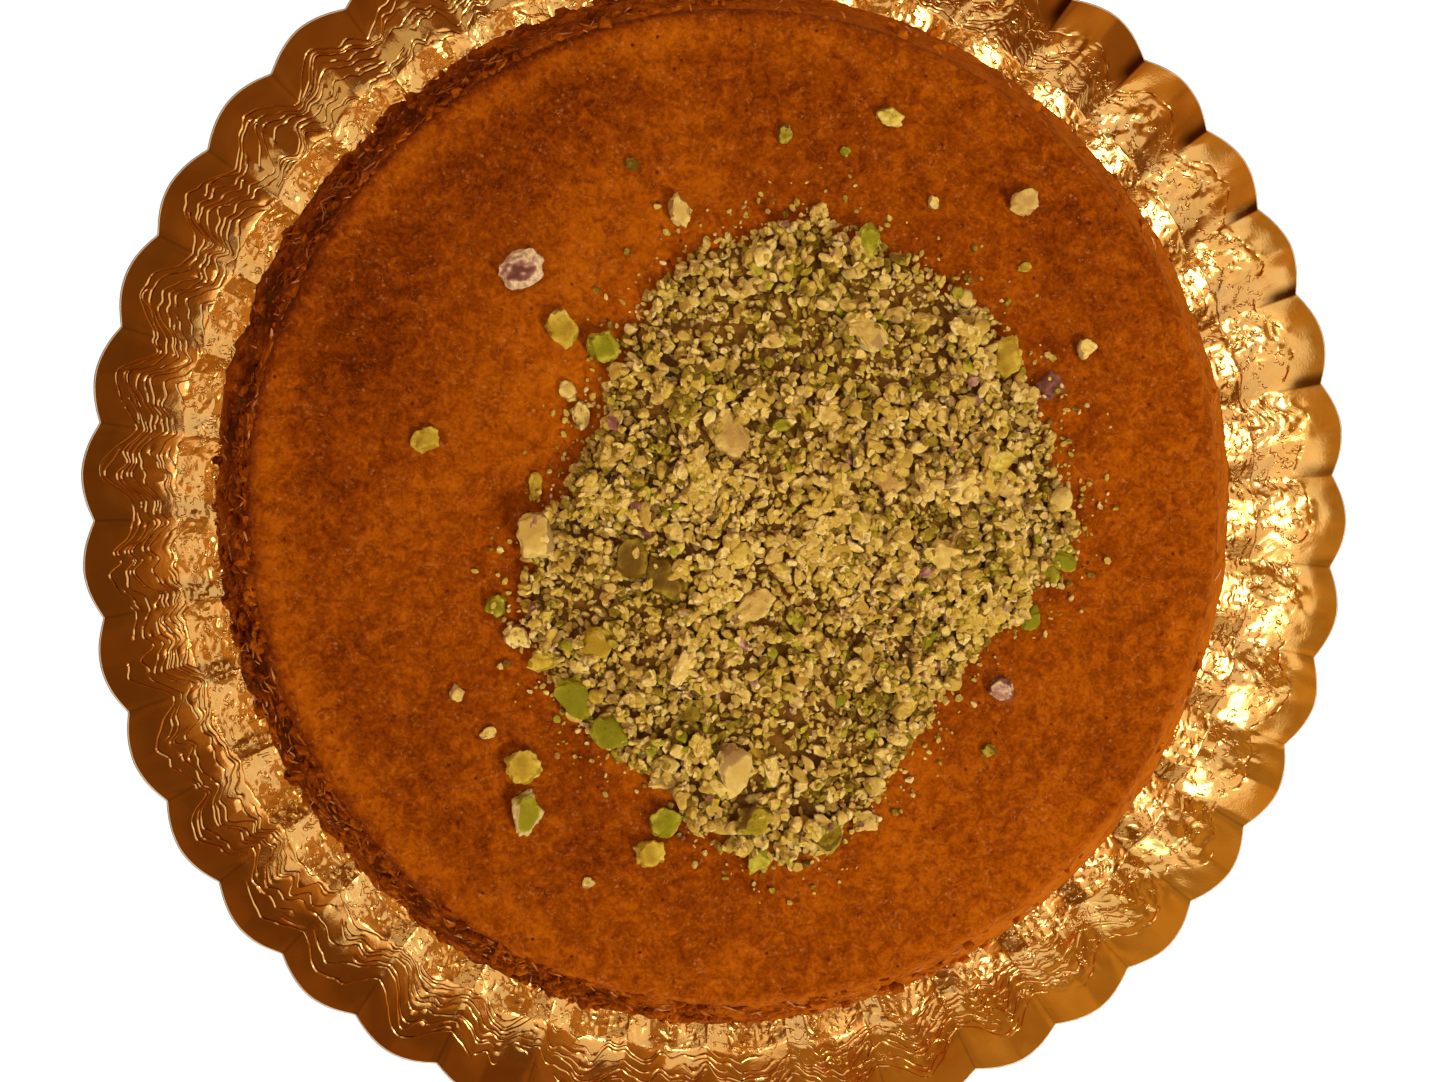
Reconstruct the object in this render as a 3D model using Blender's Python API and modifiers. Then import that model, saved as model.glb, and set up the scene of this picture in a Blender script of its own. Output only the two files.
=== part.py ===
"""A round kunafa on its scalloped gold tray, with chopped pistachio heaped on top.

Lengths are in metres and +Z is up. The origin is the centre of the tray's underside.
The tray, the kunafa, the heap and the largest loose nuts are one closed solid each.
"""

import math
import random

import bmesh
import bpy
from mathutils import Vector, noise

MM = 0.001
SEED = 41

# ---- Tray: pressed paperboard with gold foil --------------------------------------------
TRAY_CREST_RADIUS = 148.4 * MM      # top face, middle of a petal
NOTCH_DEPTH = 2.1 * MM              # how far the outline steps in between two petals
PETALS = 41
PETAL_PHASE = math.radians(48.1)    # direction of one crease
BOARD = 1.0 * MM
FLAT_RADIUS = 118.0 * MM            # the level floor of the tray
WALL_FOOT_RADIUS = 131.5 * MM       # where the gentle apron turns up into the wall
APRON_RISE = 0.8 * MM
WALL_RISE = 12.0 * MM
WALL_FOOT_SLOPE = math.radians(16)
CREASE_DEPTH = 2.0 * MM             # crease below the crown of a petal, at the lip
STEPS_PER_PETAL = 4
TRAY_RINGS = (0.2, 0.43, 0.62, 0.81, 1.0)

# ---- Kunafa: a flat cake turned out of a pan with sloping sides -------------------------
GAP = 0.3 * MM
KUNAFA_CENTRE = Vector((2.4, 1.4, 0)) * MM
KUNAFA_TOP_RADIUS = 113.8 * MM      # across X
KUNAFA_STRETCH_Y = 1.021            # it is a little longer along Y
KUNAFA_THICKNESS = 16.0 * MM
KUNAFA_FLARE = 8.5 * MM             # the foot stands out past the top edge
KUNAFA_FLOOR = BOARD + GAP
KUNAFA_TOP = KUNAFA_FLOOR + KUNAFA_THICKNESS
KUNAFA_STEPS = 120
TOP_EDGE = ((8.0, 0.0), (2.5, 0.1), (0.7, 0.7))   # in from the top edge and down, in mm
SHOULDER_DROP = 1.7 * MM            # where the rounded edge turns into the side
FOOT_RISE = 1.9 * MM
FOOT_UNDERCUT = 10.3 * MM           # the underside stops this far inside the foot
SIDE_SHARES = (0, 0.3, 0.55, 0.8, 1)
EDGE_WAVE = 0.7 * MM
EDGE_WAVES = 1.3                    # noise cells of the wave in one radius
CRUST_RELIEF_SMOOTH = 0.45 * MM     # crags of the side towards +X
CRUST_RELIEF_SHAGGY = 1.3 * MM      # crags of the side towards -X
SHAGGY_TURN = math.radians(10)      # the shaggiest direction, turned from -X
SHAGGY_SPAN = (-0.5, 0.7)           # cosines between which the side turns shaggy
CRAGS = 11                          # noise cells of the crags in one radius
CRAG_HEIGHT = 4.0 * MM

# ---- Heap of chopped pistachio ----------------------------------------------------------
HEAP_CENTRE = Vector((15.3, -5.4, 0)) * MM
HEAP_FLOOR = KUNAFA_TOP + GAP
HEAP_HEIGHT = 5.6 * MM
HEAP_EDGE_HEIGHT = 0.9 * MM
HEAP_LUMPS = 1.3 * MM
HEAP_BUMPS = 1.05 * MM              # the core is as bumpy as the bits that cover it
# How far the outline lies from the centre in mm, every 15 degrees from +X towards +Y.
HEAP_REACH = (
    64, 63, 64, 68, 70, 73, 75, 73, 68, 60, 54, 55, 64, 66, 66, 65, 64, 73, 76, 63, 53, 48, 48, 56,
)
OUTLINE_WAVE = 1.6 * MM
OUTLINE_WAVES = 5                   # noise cells of the wave in one radius
CORE_INSET = 2.6 * MM               # the core stays inside the pieces at the edge
CORE_GRID = 25                      # cells of the core's top across the heap
LUMP_SIZE = 13.0 * MM
PIECE_SPACING = 1.3                 # nearest distance, as a share of two pieces' half-lengths
NUT_SPACING = 1.1                   # the same, to what lies outside the heap
PIECE_SUNK = 0.5                    # share of a piece's height inside the core
PIECE_FLATNESS = (0.5, 0.7)         # height over width
PIECE_SLIMNESS = (0.6, 0.9)         # width over length
LEAST_LIFT = 0.06 * MM              # keeps a piece off the plane of the core's underside

# Large pieces of the heap in millimetres: x, y, length, width, turn in degrees.
HEAP_PIECES = (
    (63.5, 38.2, 10.8, 6.4, 82), (-1.8, 20.2, 12.0, 8.2, 118), (-16.2, -12.2, 12.0, 9.5, 130),
    (3.6, -19.4, 11.8, 7.0, 35), (30.3, 43.4, 10.0, 6.5, 140), (21.0, 24.9, 6.2, 5.4, 20),
    (35.2, 9.7, 8.4, 7.6, 10), (52.3, 8.1, 9.6, 6.8, 25), (48.4, -7.9, 8.6, 7.4, 150),
    (-0.4, -57.0, 13.2, 9.6, 95), (-31.8, -27.2, 8.6, 8.0, 12), (-37.2, -40.0, 11.4, 7.6, 110),
    (-29.1, -48.3, 9.6, 7.6, 150), (-45.9, -2.8, 11.2, 8.4, 110), (-44.4, -31.8, 8.0, 5.2, 5),
    (21.4, -72.8, 8.6, 7.0, 60), (5.4, -79.6, 7.4, 5.0, 50), (77.2, -9.4, 6.4, 4.6, 165),
    (30.2, 64.1, 8.8, 5.6, 100),
    (4.0, -69.0, 10.0, 8.0, 30), (-24.0, -8.0, 10.6, 7.6, 85), (-12.5, -33.0, 9.4, 4.4, 62),
    (-16.6, -60.4, 8.0, 3.8, 10),
)
# Smaller pieces that are spread by rule: least length, greatest length in mm, how many.
HEAP_FILL = ((5.2, 6.6, 26), (4.0, 5.2, 34), (3.0, 4.0, 20))

# ---- Loose nuts -------------------------------------------------------------------------
# The ones as large as berries: name, x, y, length, width, height in mm, turn in degrees.
NUTS = (
    ("nut_purple_skin", -48.7, 57.6, 10.9, 8.8, 3.6, 25),
    ("nut_block", -48.2, -67.0, 11.2, 7.8, 4.2, 85),
    ("nut_wedge", -49.0, -56.2, 8.4, 8.0, 3.4, 15),
    ("nut_green", -30.2, 40.4, 8.4, 7.4, 3.6, 150),
    ("nut_drop", -39.6, 44.1, 9.2, 7.2, 3.0, 110),
    ("nut_leaf", -15.9, -69.7, 8.4, 7.4, 3.4, 5),
    ("nut_pale", -19.9, -77.0, 7.6, 6.4, 3.0, 20),
    ("nut_stub", -12.6, 71.2, 8.4, 5.6, 3.4, 95),
)
# Smaller loose pieces, fused to the kunafa in millimetres: x, y, length, width, turn.
CRUMBS = (
    (-70.7, 19.0, 7.2, 5.4, 25), (35.7, 93.2, 6.6, 4.6, 160), (11.5, 88.9, 4.6, 3.6, 80),
    (67.4, 74.2, 7.0, 6.4, 0), (82.3, 40.2, 5.0, 4.4, 60), (73.6, 31.5, 6.8, 6.4, 30),
    (63.1, -39.5, 6.4, 6.0, 0), (60.3, -54.3, 3.8, 3.4, 40), (-64.2, -39.0, 4.4, 3.6, 100),
    (-34.1, -84.1, 3.2, 2.8, 0), (-38.4, 30.0, 5.6, 4.0, 120), (-35.4, 24.6, 7.0, 4.2, 100),
    (-23.6, 81.6, 3.2, 3.0, 0), (46.1, 73.9, 3.6, 2.8, 120), (-57.2, -48.6, 4.2, 2.8, 20),
    (-45.8, 8.4, 6.6, 3.2, 95), (25.5, 85.3, 2.8, 2.4, 0), (67.8, 59.2, 3.6, 2.4, 20),
    (-55.0, -19.0, 5.6, 5.0, 40), (-50.2, -26.2, 7.4, 5.4, 155), (30.7, -70.6, 6.2, 5.2, 10),
    (70.1, -22.7, 6.8, 4.8, 70), (19.2, 71.4, 4.6, 4.0, 20),
)
CRUMB_FLATNESS = (0.55, 0.75)
CRUMB_SUNK = 0.25                   # share of a fused piece that is below the surface

# ---- How a nut is chopped ---------------------------------------------------------------
CUT_DEPTHS = (0.55, 0.8)            # distance of a knife cut from the middle of a unit lump
CUT_SLOPES = (-0.3, 0.8)            # how far a cut faces down or up
UNDERSIDE_CUT = 0.6
LUMP_ROUGHNESS = 0.08
NUT_CUTS, PIECE_CUTS = 4, 2


# ---- Helpers ----------------------------------------------------------------------------
def clear_scene():
    for obj in list(bpy.data.objects):
        bpy.data.objects.remove(obj)


def new_collection(name):
    collection = bpy.data.collections.new(name)
    bpy.context.scene.collection.children.link(collection)
    return collection


def material(name, colour, roughness, metallic=0.0):
    made = bpy.data.materials.new(name)
    made.use_nodes = True
    shader = made.node_tree.nodes["Principled BSDF"]
    shader.inputs["Base Color"].default_value = (*colour, 1)
    shader.inputs["Roughness"].default_value = roughness
    shader.inputs["Metallic"].default_value = metallic
    return made


def evaluated_copy(obj):
    """The object's mesh with its modifiers applied."""
    view = bpy.context.evaluated_depsgraph_get()
    return bpy.data.meshes.new_from_object(obj.evaluated_get(view))


def turned(name, profile, steps, collection):
    """Turn a profile of (radius, height) points about Z and keep the result as a mesh."""
    mesh = bpy.data.meshes.new(name)
    points = [(radius, 0, height) for radius, height in profile]
    mesh.from_pydata(points, [(i, i + 1) for i in range(len(points) - 1)], [])
    obj = bpy.data.objects.new(name, mesh)
    collection.objects.link(obj)
    screw = obj.modifiers.new("Turn", "SCREW")
    screw.axis = "Z"
    screw.steps = steps
    screw.render_steps = steps
    screw.use_merge_vertices = True
    screw.merge_threshold = 0.01 * MM
    turned_mesh = evaluated_copy(obj)
    obj.modifiers.remove(screw)
    obj.data = turned_mesh
    return obj


def shade(obj, degrees):
    obj.data.shade_smooth()
    obj.data.set_sharp_from_angle(angle=math.radians(degrees))


def smooth_step(low, high, value):
    share = min(1, max(0, (value - low) / (high - low)))
    return share * share * (3 - 2 * share)


# ---- Tray -------------------------------------------------------------------------------
def crease_nearness(angle):
    """1 on a crease between two petals, 0 on the crown of a petal."""
    petal = angle * PETALS / math.tau
    return 1 - 2 * abs(petal - math.floor(petal + 0.5))


def lip_radius(angle):
    return TRAY_CREST_RADIUS - NOTCH_DEPTH * crease_nearness(angle) ** 2


def tray_height(share, angle):
    """Height of the top face, at this share of the way from the floor to the lip."""
    reach = TRAY_CREST_RADIUS - FLAT_RADIUS
    foot = (WALL_FOOT_RADIUS - FLAT_RADIUS) / reach
    apron = APRON_RISE * min(1, share / foot) ** 1.5
    climb = max(0, (share - foot) / (1 - foot))
    first = (1 - foot) * reach * math.tan(WALL_FOOT_SLOPE)
    wall = first * climb + (WALL_RISE - first) * climb ** 2
    crease = CREASE_DEPTH * share ** 1.5 * crease_nearness(angle) ** 2
    return BOARD + apron + wall - crease


def make_tray(collection):
    reach = TRAY_CREST_RADIUS - FLAT_RADIUS
    rings = [0, FLAT_RADIUS] + [FLAT_RADIUS + share * reach for share in TRAY_RINGS]
    tray = turned("tray", [(ring, BOARD) for ring in rings], PETALS * STEPS_PER_PETAL, collection)
    for vertex in tray.data.vertices:
        radius = vertex.co.xy.length
        if radius < FLAT_RADIUS + GAP:
            continue
        angle = math.atan2(vertex.co.y, vertex.co.x)
        share = (radius - FLAT_RADIUS) / reach
        radius = FLAT_RADIUS + share * (lip_radius(angle) - FLAT_RADIUS)
        height = tray_height(share, angle)
        vertex.co = (radius * math.cos(angle), radius * math.sin(angle), height)
    if tray.data.polygons[0].normal.z < 0:
        tray.data.flip_normals()
    tray.rotation_euler.z = PETAL_PHASE
    board = tray.modifiers.new("Board", "SOLIDIFY")
    board.thickness = BOARD
    board.offset = -1
    shade(tray, 40)
    tray.data.materials.append(material("gold_foil", (0.83, 0.56, 0.16), 0.22, 1.0))
    return tray


# ---- Kunafa -----------------------------------------------------------------------------
def kunafa_profile():
    """From the middle of the top, over the edge, down the side and back to the middle."""
    edge = KUNAFA_TOP_RADIUS
    shoulder = KUNAFA_TOP - SHOULDER_DROP
    foot = KUNAFA_FLOOR + FOOT_RISE
    profile = [(0, KUNAFA_TOP)]
    profile += [(edge - inward * MM, KUNAFA_TOP - down * MM) for inward, down in TOP_EDGE]
    profile += [(edge + share * KUNAFA_FLARE, shoulder + share * (foot - shoulder)) for share in SIDE_SHARES]
    profile += [(edge + KUNAFA_FLARE - FOOT_UNDERCUT, KUNAFA_FLOOR), (0, KUNAFA_FLOOR)]
    return profile


def crust_relief(angle, height):
    """How far the crust stands out or in: shaggy towards -X, smoother towards +X."""
    shaggy = smooth_step(*SHAGGY_SPAN, -math.cos(angle - SHAGGY_TURN))
    amount = CRUST_RELIEF_SMOOTH + shaggy * (CRUST_RELIEF_SHAGGY - CRUST_RELIEF_SMOOTH)
    place = Vector((math.cos(angle) * CRAGS, math.sin(angle) * CRAGS, height / CRAG_HEIGHT))
    return amount * (noise.noise(place) + 0.6 * noise.noise(place * 2.3))


def edge_wave(angle):
    place = Vector((math.cos(angle) * EDGE_WAVES, math.sin(angle) * EDGE_WAVES, SEED))
    return EDGE_WAVE * noise.noise(place)


def share_on_side(height):
    """0 on the flat faces of the kunafa, 1 on its side; height is over its underside."""
    above_foot = smooth_step(0.5 * MM, 1.5 * MM, height)
    below_top = smooth_step(0, 1 * MM, KUNAFA_THICKNESS - height)
    return above_foot * below_top


def make_kunafa(collection):
    kunafa = turned("kunafa", kunafa_profile(), KUNAFA_STEPS, collection)
    for vertex in kunafa.data.vertices:
        radius = vertex.co.xy.length
        if radius < KUNAFA_TOP_RADIUS / 2:
            continue
        angle = math.atan2(vertex.co.y, vertex.co.x)
        height = vertex.co.z - KUNAFA_FLOOR
        moved = radius + edge_wave(angle) + share_on_side(height) * crust_relief(angle, height)
        vertex.co.x = moved * math.cos(angle)
        vertex.co.y = moved * math.sin(angle) * KUNAFA_STRETCH_Y
    for vertex in kunafa.data.vertices:
        vertex.co += KUNAFA_CENTRE
    shade(kunafa, 35)
    kunafa.data.materials.append(material("kunafa_crust", (0.34, 0.10, 0.012), 0.55))
    return kunafa


# ---- Chopped nuts -----------------------------------------------------------------------
def chopped(length, width, height, turn, cuts, detail, draw):
    """A lump the size of a box, with flat faces where a knife went through it."""
    lump = bmesh.new()
    bmesh.ops.create_icosphere(lump, subdivisions=detail, radius=1)
    planes = []
    for _ in range(cuts):
        normal = Vector((draw.uniform(-1, 1), draw.uniform(-1, 1), draw.uniform(*CUT_SLOPES)))
        planes.append((normal.normalized(), draw.uniform(*CUT_DEPTHS)))
    planes.append((Vector((0, 0, -1)), UNDERSIDE_CUT))
    for vertex in lump.verts:
        vertex.co *= 1 + draw.uniform(-LUMP_ROUGHNESS, LUMP_ROUGHNESS)
        for normal, distance in planes:
            vertex.co -= normal * max(0, normal.dot(vertex.co) - distance)
    lowest = [min(vertex.co[axis] for vertex in lump.verts) for axis in range(3)]
    extent = [max(vertex.co[axis] for vertex in lump.verts) - lowest[axis] for axis in range(3)]
    cosine, sine = math.cos(turn), math.sin(turn)
    for vertex in lump.verts:
        x = vertex.co.x / extent[0] * length
        y = vertex.co.y / extent[1] * width
        z = (vertex.co.z - lowest[2]) / extent[2] * height
        vertex.co = (x * cosine - y * sine, x * sine + y * cosine, z)
    return lump


def place_lump(name, lump, x, y, z, collection):
    mesh = bpy.data.meshes.new(name)
    lump.to_mesh(mesh)
    lump.free()
    obj = bpy.data.objects.new(name, mesh)
    for vertex in mesh.vertices:
        vertex.co += Vector((x, y, z))
    collection.objects.link(obj)
    return obj


def keep_largest_shell(obj):
    """Drop loose scraps and the walls of sealed hollows that a union leaves behind."""
    work = bmesh.new()
    work.from_mesh(obj.data)
    waiting = set(work.verts)
    shells = []
    while waiting:
        shell = {waiting.pop()}
        edge_of_search = list(shell)
        while edge_of_search:
            for edge in edge_of_search.pop().link_edges:
                for vertex in edge.verts:
                    if vertex in waiting:
                        waiting.discard(vertex)
                        shell.add(vertex)
                        edge_of_search.append(vertex)
        shells.append(shell)
    largest = max(shells, key=len)
    spare = [vertex for vertex in work.verts if vertex not in largest]
    bmesh.ops.delete(work, geom=spare, context="VERTS")
    bmesh.ops.triangulate(work, faces=work.faces)
    work.to_mesh(obj.data)
    work.free()


def fuse(obj, pieces):
    """Join every piece of a collection to the object, then remove the pieces."""
    union = obj.modifiers.new("Fuse", "BOOLEAN")
    union.operation = "UNION"
    union.operand_type = "COLLECTION"
    union.collection = pieces
    union.solver = "EXACT"
    bpy.context.view_layer.update()
    fused = evaluated_copy(obj)
    obj.modifiers.remove(union)
    obj.data = fused
    for piece in list(pieces.objects):
        bpy.data.objects.remove(piece)
    bpy.data.collections.remove(pieces)
    keep_largest_shell(obj)


# ---- Heap -------------------------------------------------------------------------------
def heap_reach(angle):
    """Distance from the heap's centre to its outline, eased between the measured ones."""
    place = (angle / math.tau % 1) * len(HEAP_REACH)
    low = int(place) % len(HEAP_REACH)
    high = (low + 1) % len(HEAP_REACH)
    blend = smooth_step(0, 1, place - int(place))
    around = Vector((math.cos(angle), math.sin(angle), 0)) * OUTLINE_WAVES
    wave = OUTLINE_WAVE * noise.noise(around)
    return (HEAP_REACH[low] + blend * (HEAP_REACH[high] - HEAP_REACH[low])) * MM + wave


def core_share(x, y):
    """0 at the heap's centre, 1 at the edge of its core."""
    from_centre = Vector((x, y)) - HEAP_CENTRE.xy
    angle = math.atan2(from_centre.y, from_centre.x)
    return from_centre.length / (heap_reach(angle) - CORE_INSET)


def core_height(x, y):
    """Height of the core over the heap's floor."""
    share = min(1, core_share(x, y))
    lump = HEAP_LUMPS * noise.noise(Vector((x, y, 0)) / LUMP_SIZE) * (1 - share ** 3)
    return HEAP_EDGE_HEIGHT + (HEAP_HEIGHT - HEAP_EDGE_HEIGHT) * (1 - share ** 2.4) + lump


def make_heap_core(collection, draw):
    """A square grid bent into a disc, stretched to the heap's outline and made bumpy."""
    core = bmesh.new()
    bmesh.ops.create_grid(core, x_segments=CORE_GRID, y_segments=CORE_GRID, size=1)
    rim = [edge for edge in core.edges if edge.is_boundary]
    top = list(core.verts)
    side = bmesh.ops.extrude_edge_only(core, edges=rim)["geom"]
    foot = [item for item in side if isinstance(item, bmesh.types.BMVert)]
    foot_edges = [item for item in side if isinstance(item, bmesh.types.BMEdge) and item.is_boundary]
    for vertex in top + foot:
        u, v = vertex.co.xy
        across = Vector((u * math.sqrt(1 - v * v / 2), v * math.sqrt(1 - u * u / 2)))
        reach = heap_reach(math.atan2(across.y, across.x)) - CORE_INSET
        vertex.co = (HEAP_CENTRE.x + across.x * reach, HEAP_CENTRE.y + across.y * reach, HEAP_FLOOR)
    for vertex in top:
        height = core_height(vertex.co.x, vertex.co.y)
        bump = min(HEAP_BUMPS, height / 2) * draw.uniform(-1, 1)
        vertex.co.z += height + bump
    bmesh.ops.edgeloop_fill(core, edges=foot_edges)
    bmesh.ops.recalc_face_normals(core, faces=core.faces)
    mesh = bpy.data.meshes.new("pistachio_heap")
    core.to_mesh(mesh)
    core.free()
    obj = bpy.data.objects.new("pistachio_heap", mesh)
    collection.objects.link(obj)
    mesh.materials.append(material("pistachio", (0.48, 0.38, 0.13), 0.6))
    return obj


def too_near(x, y, radius, taken, spacing):
    return any(math.hypot(x - a, y - b) < (radius + r) * spacing for a, b, r in taken)


def heap_layout(draw, kept_clear):
    """Every fused piece of the heap: x, y, length, width and turn."""
    layout = []
    for x, y, length, width, turn in HEAP_PIECES:
        layout.append((x * MM, y * MM, length * MM, width * MM, math.radians(turn)))
    taken = [(x, y, length / 2) for x, y, length, _, _ in layout]
    for least, greatest, wanted in HEAP_FILL:
        placed = 0
        while placed < wanted:
            length = draw.uniform(least, greatest) * MM
            angle = draw.uniform(0, math.tau)
            radius = math.sqrt(draw.random()) * (heap_reach(angle) - length / 2)
            x = HEAP_CENTRE.x + radius * math.cos(angle)
            y = HEAP_CENTRE.y + radius * math.sin(angle)
            if too_near(x, y, length / 2, taken, PIECE_SPACING):
                continue
            if too_near(x, y, length / 2, kept_clear, NUT_SPACING):
                continue
            taken.append((x, y, length / 2))
            width = length * draw.uniform(*PIECE_SLIMNESS)
            layout.append((x, y, length, width, draw.uniform(0, math.pi)))
            placed += 1
    return layout


def make_heap(collection, draw, kept_clear):
    core = make_heap_core(collection, draw)
    pieces = new_collection("heap_pieces")
    for number, (x, y, length, width, turn) in enumerate(heap_layout(draw, kept_clear)):
        height = width * draw.uniform(*PIECE_FLATNESS)
        lump = chopped(length, width, height, turn, PIECE_CUTS, 1, draw)
        on_core = core_share(x, y) < 1
        rise = core_height(x, y) - PIECE_SUNK * height if on_core else 0
        place_lump(f"piece_{number}", lump, x, y, HEAP_FLOOR + max(LEAST_LIFT, rise), pieces)
    fuse(core, pieces)
    shade(core, 12)


# ---- Loose nuts and crumbs --------------------------------------------------------------
NUT_COLOURS = {
    "nut_purple_skin": (0.38, 0.17, 0.13), "nut_block": (0.50, 0.42, 0.12),
    "nut_wedge": (0.46, 0.30, 0.012), "nut_green": (0.33, 0.27, 0.01),
    "nut_drop": (0.52, 0.33, 0.06), "nut_leaf": (0.30, 0.28, 0.005),
    "nut_pale": (0.56, 0.36, 0.08), "nut_stub": (0.50, 0.38, 0.12),
}


def make_nuts(collection, draw):
    for name, x, y, length, width, height, turn in NUTS:
        lump = chopped(length * MM, width * MM, height * MM, math.radians(turn), NUT_CUTS, 2, draw)
        nut = place_lump(name, lump, x * MM, y * MM, KUNAFA_TOP + GAP, collection)
        shade(nut, 25)
        nut.data.materials.append(material(name, NUT_COLOURS[name], 0.5))


def fuse_crumbs(kunafa, draw):
    crumbs = new_collection("crumbs")
    for number, (x, y, length, width, turn) in enumerate(CRUMBS):
        height = width * MM * draw.uniform(*CRUMB_FLATNESS)
        lump = chopped(length * MM, width * MM, height, math.radians(turn), PIECE_CUTS, 1, draw)
        underside = KUNAFA_TOP - CRUMB_SUNK * height
        place_lump(f"crumb_{number}", lump, x * MM, y * MM, underside, crumbs)
    fuse(kunafa, crumbs)


def main():
    clear_scene()
    draw = random.Random(SEED)
    parts = new_collection("kunafa_on_tray")
    make_tray(parts)
    kunafa = make_kunafa(parts)
    fuse_crumbs(kunafa, draw)
    kept_clear = [(x * MM, y * MM, length / 2 * MM) for _, x, y, length, _, _, _ in NUTS]
    kept_clear += [(x * MM, y * MM, length / 2 * MM) for x, y, length, _, _ in CRUMBS]
    make_heap(parts, draw, kept_clear)
    make_nuts(parts, draw)


main()
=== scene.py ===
"""Looks of a round kunafa on its scalloped gold tray, with chopped pistachio heaped on top.

Lengths are in metres, +Z is up, and +X is the right and +Y the top of the photograph.
Every piece rides on the one body of the object and stands where its solid is.
"""

import math

import bmesh
import bpy
import numpy as np
from mathutils import Matrix, Vector, noise


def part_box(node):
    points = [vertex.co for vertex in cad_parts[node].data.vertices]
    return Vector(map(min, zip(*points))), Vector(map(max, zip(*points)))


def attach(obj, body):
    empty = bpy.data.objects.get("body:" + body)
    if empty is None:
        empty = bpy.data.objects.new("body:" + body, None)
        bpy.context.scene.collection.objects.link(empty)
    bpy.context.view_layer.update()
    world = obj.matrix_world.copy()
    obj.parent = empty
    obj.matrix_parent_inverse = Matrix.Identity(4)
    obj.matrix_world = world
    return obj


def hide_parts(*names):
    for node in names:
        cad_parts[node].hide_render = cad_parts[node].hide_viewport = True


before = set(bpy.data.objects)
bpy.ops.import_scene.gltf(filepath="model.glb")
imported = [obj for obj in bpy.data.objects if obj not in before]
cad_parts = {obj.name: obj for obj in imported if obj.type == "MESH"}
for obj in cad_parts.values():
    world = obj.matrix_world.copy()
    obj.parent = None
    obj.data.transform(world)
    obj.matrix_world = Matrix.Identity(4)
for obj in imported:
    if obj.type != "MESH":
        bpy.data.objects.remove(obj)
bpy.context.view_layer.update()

MM = 0.001
TAU = math.tau

# ---- Camera, in the photograph's 1440 x 1082 frame
PHOTO_WIDTH = 1440
FOCAL_PIXELS = 1500
SENSOR_WIDTH = 36.0
CAMERA_PLACE = Vector((-29.3, 14.6, 364.3)) * MM
CAMERA_AIM = Vector((-3.0, -4.7, 11.5)) * MM

# ---- Tray, as in the solid
TRAY_CREST_RADIUS = 148.4 * MM
NOTCH_DEPTH = 2.1 * MM
PETALS = 41
PETAL_PHASE = math.radians(48.1)
BOARD = 1.0 * MM
FLAT_RADIUS = 118.0 * MM
WALL_FOOT_RADIUS = 131.5 * MM
APRON_RISE = 0.8 * MM
WALL_RISE = 12.0 * MM
WALL_FOOT_SLOPE = math.radians(25)     # a little steeper than in the solid
CREASE_DEPTH = 2.0 * MM
TRAY_REACH = TRAY_CREST_RADIUS - FLAT_RADIUS

# ---- Kunafa, as in the solid
SEED = 41
GAP = 0.3 * MM
KUNAFA_CENTRE = Vector((2.4, 1.4, 0)) * MM
KUNAFA_TOP_RADIUS = 113.8 * MM
KUNAFA_STRETCH_Y = 1.021
KUNAFA_THICKNESS = 16.0 * MM
KUNAFA_FLARE = 8.5 * MM
KUNAFA_FLOOR = BOARD + GAP
KUNAFA_TOP = KUNAFA_FLOOR + KUNAFA_THICKNESS
SHOULDER_DROP = 1.7 * MM
FOOT_RISE = 1.9 * MM
SIDE_HEIGHT = KUNAFA_THICKNESS - SHOULDER_DROP - FOOT_RISE
FOOT_UNDERCUT = 10.3 * MM
EDGE_WAVE = 0.7 * MM
EDGE_WAVES = 1.3
CRUST_RELIEF_SMOOTH = 0.45 * MM
CRUST_RELIEF_SHAGGY = 1.3 * MM
SHAGGY_TURN = math.radians(10)
SHAGGY_SPAN = (-0.5, 0.7)
CRAGS = 11
CRAG_HEIGHT = 4.0 * MM

# ---- Heap, as in the solid
HEAP_CENTRE = Vector((15.3, -5.4, 0)) * MM
HEAP_FLOOR = KUNAFA_TOP + GAP
HEAP_HEIGHT = 5.6 * MM
HEAP_LUMPS = 1.3 * MM
HEAP_REACH = (
    64, 63, 64, 68, 70, 73, 75, 73, 68, 60, 54, 55, 64, 66, 66, 65, 64, 73, 76, 63, 53, 48, 48, 56,
)
OUTLINE_WAVE = 1.6 * MM
OUTLINE_WAVES = 5
CORE_INSET = 2.6 * MM
LUMP_SIZE = 13.0 * MM

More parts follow.
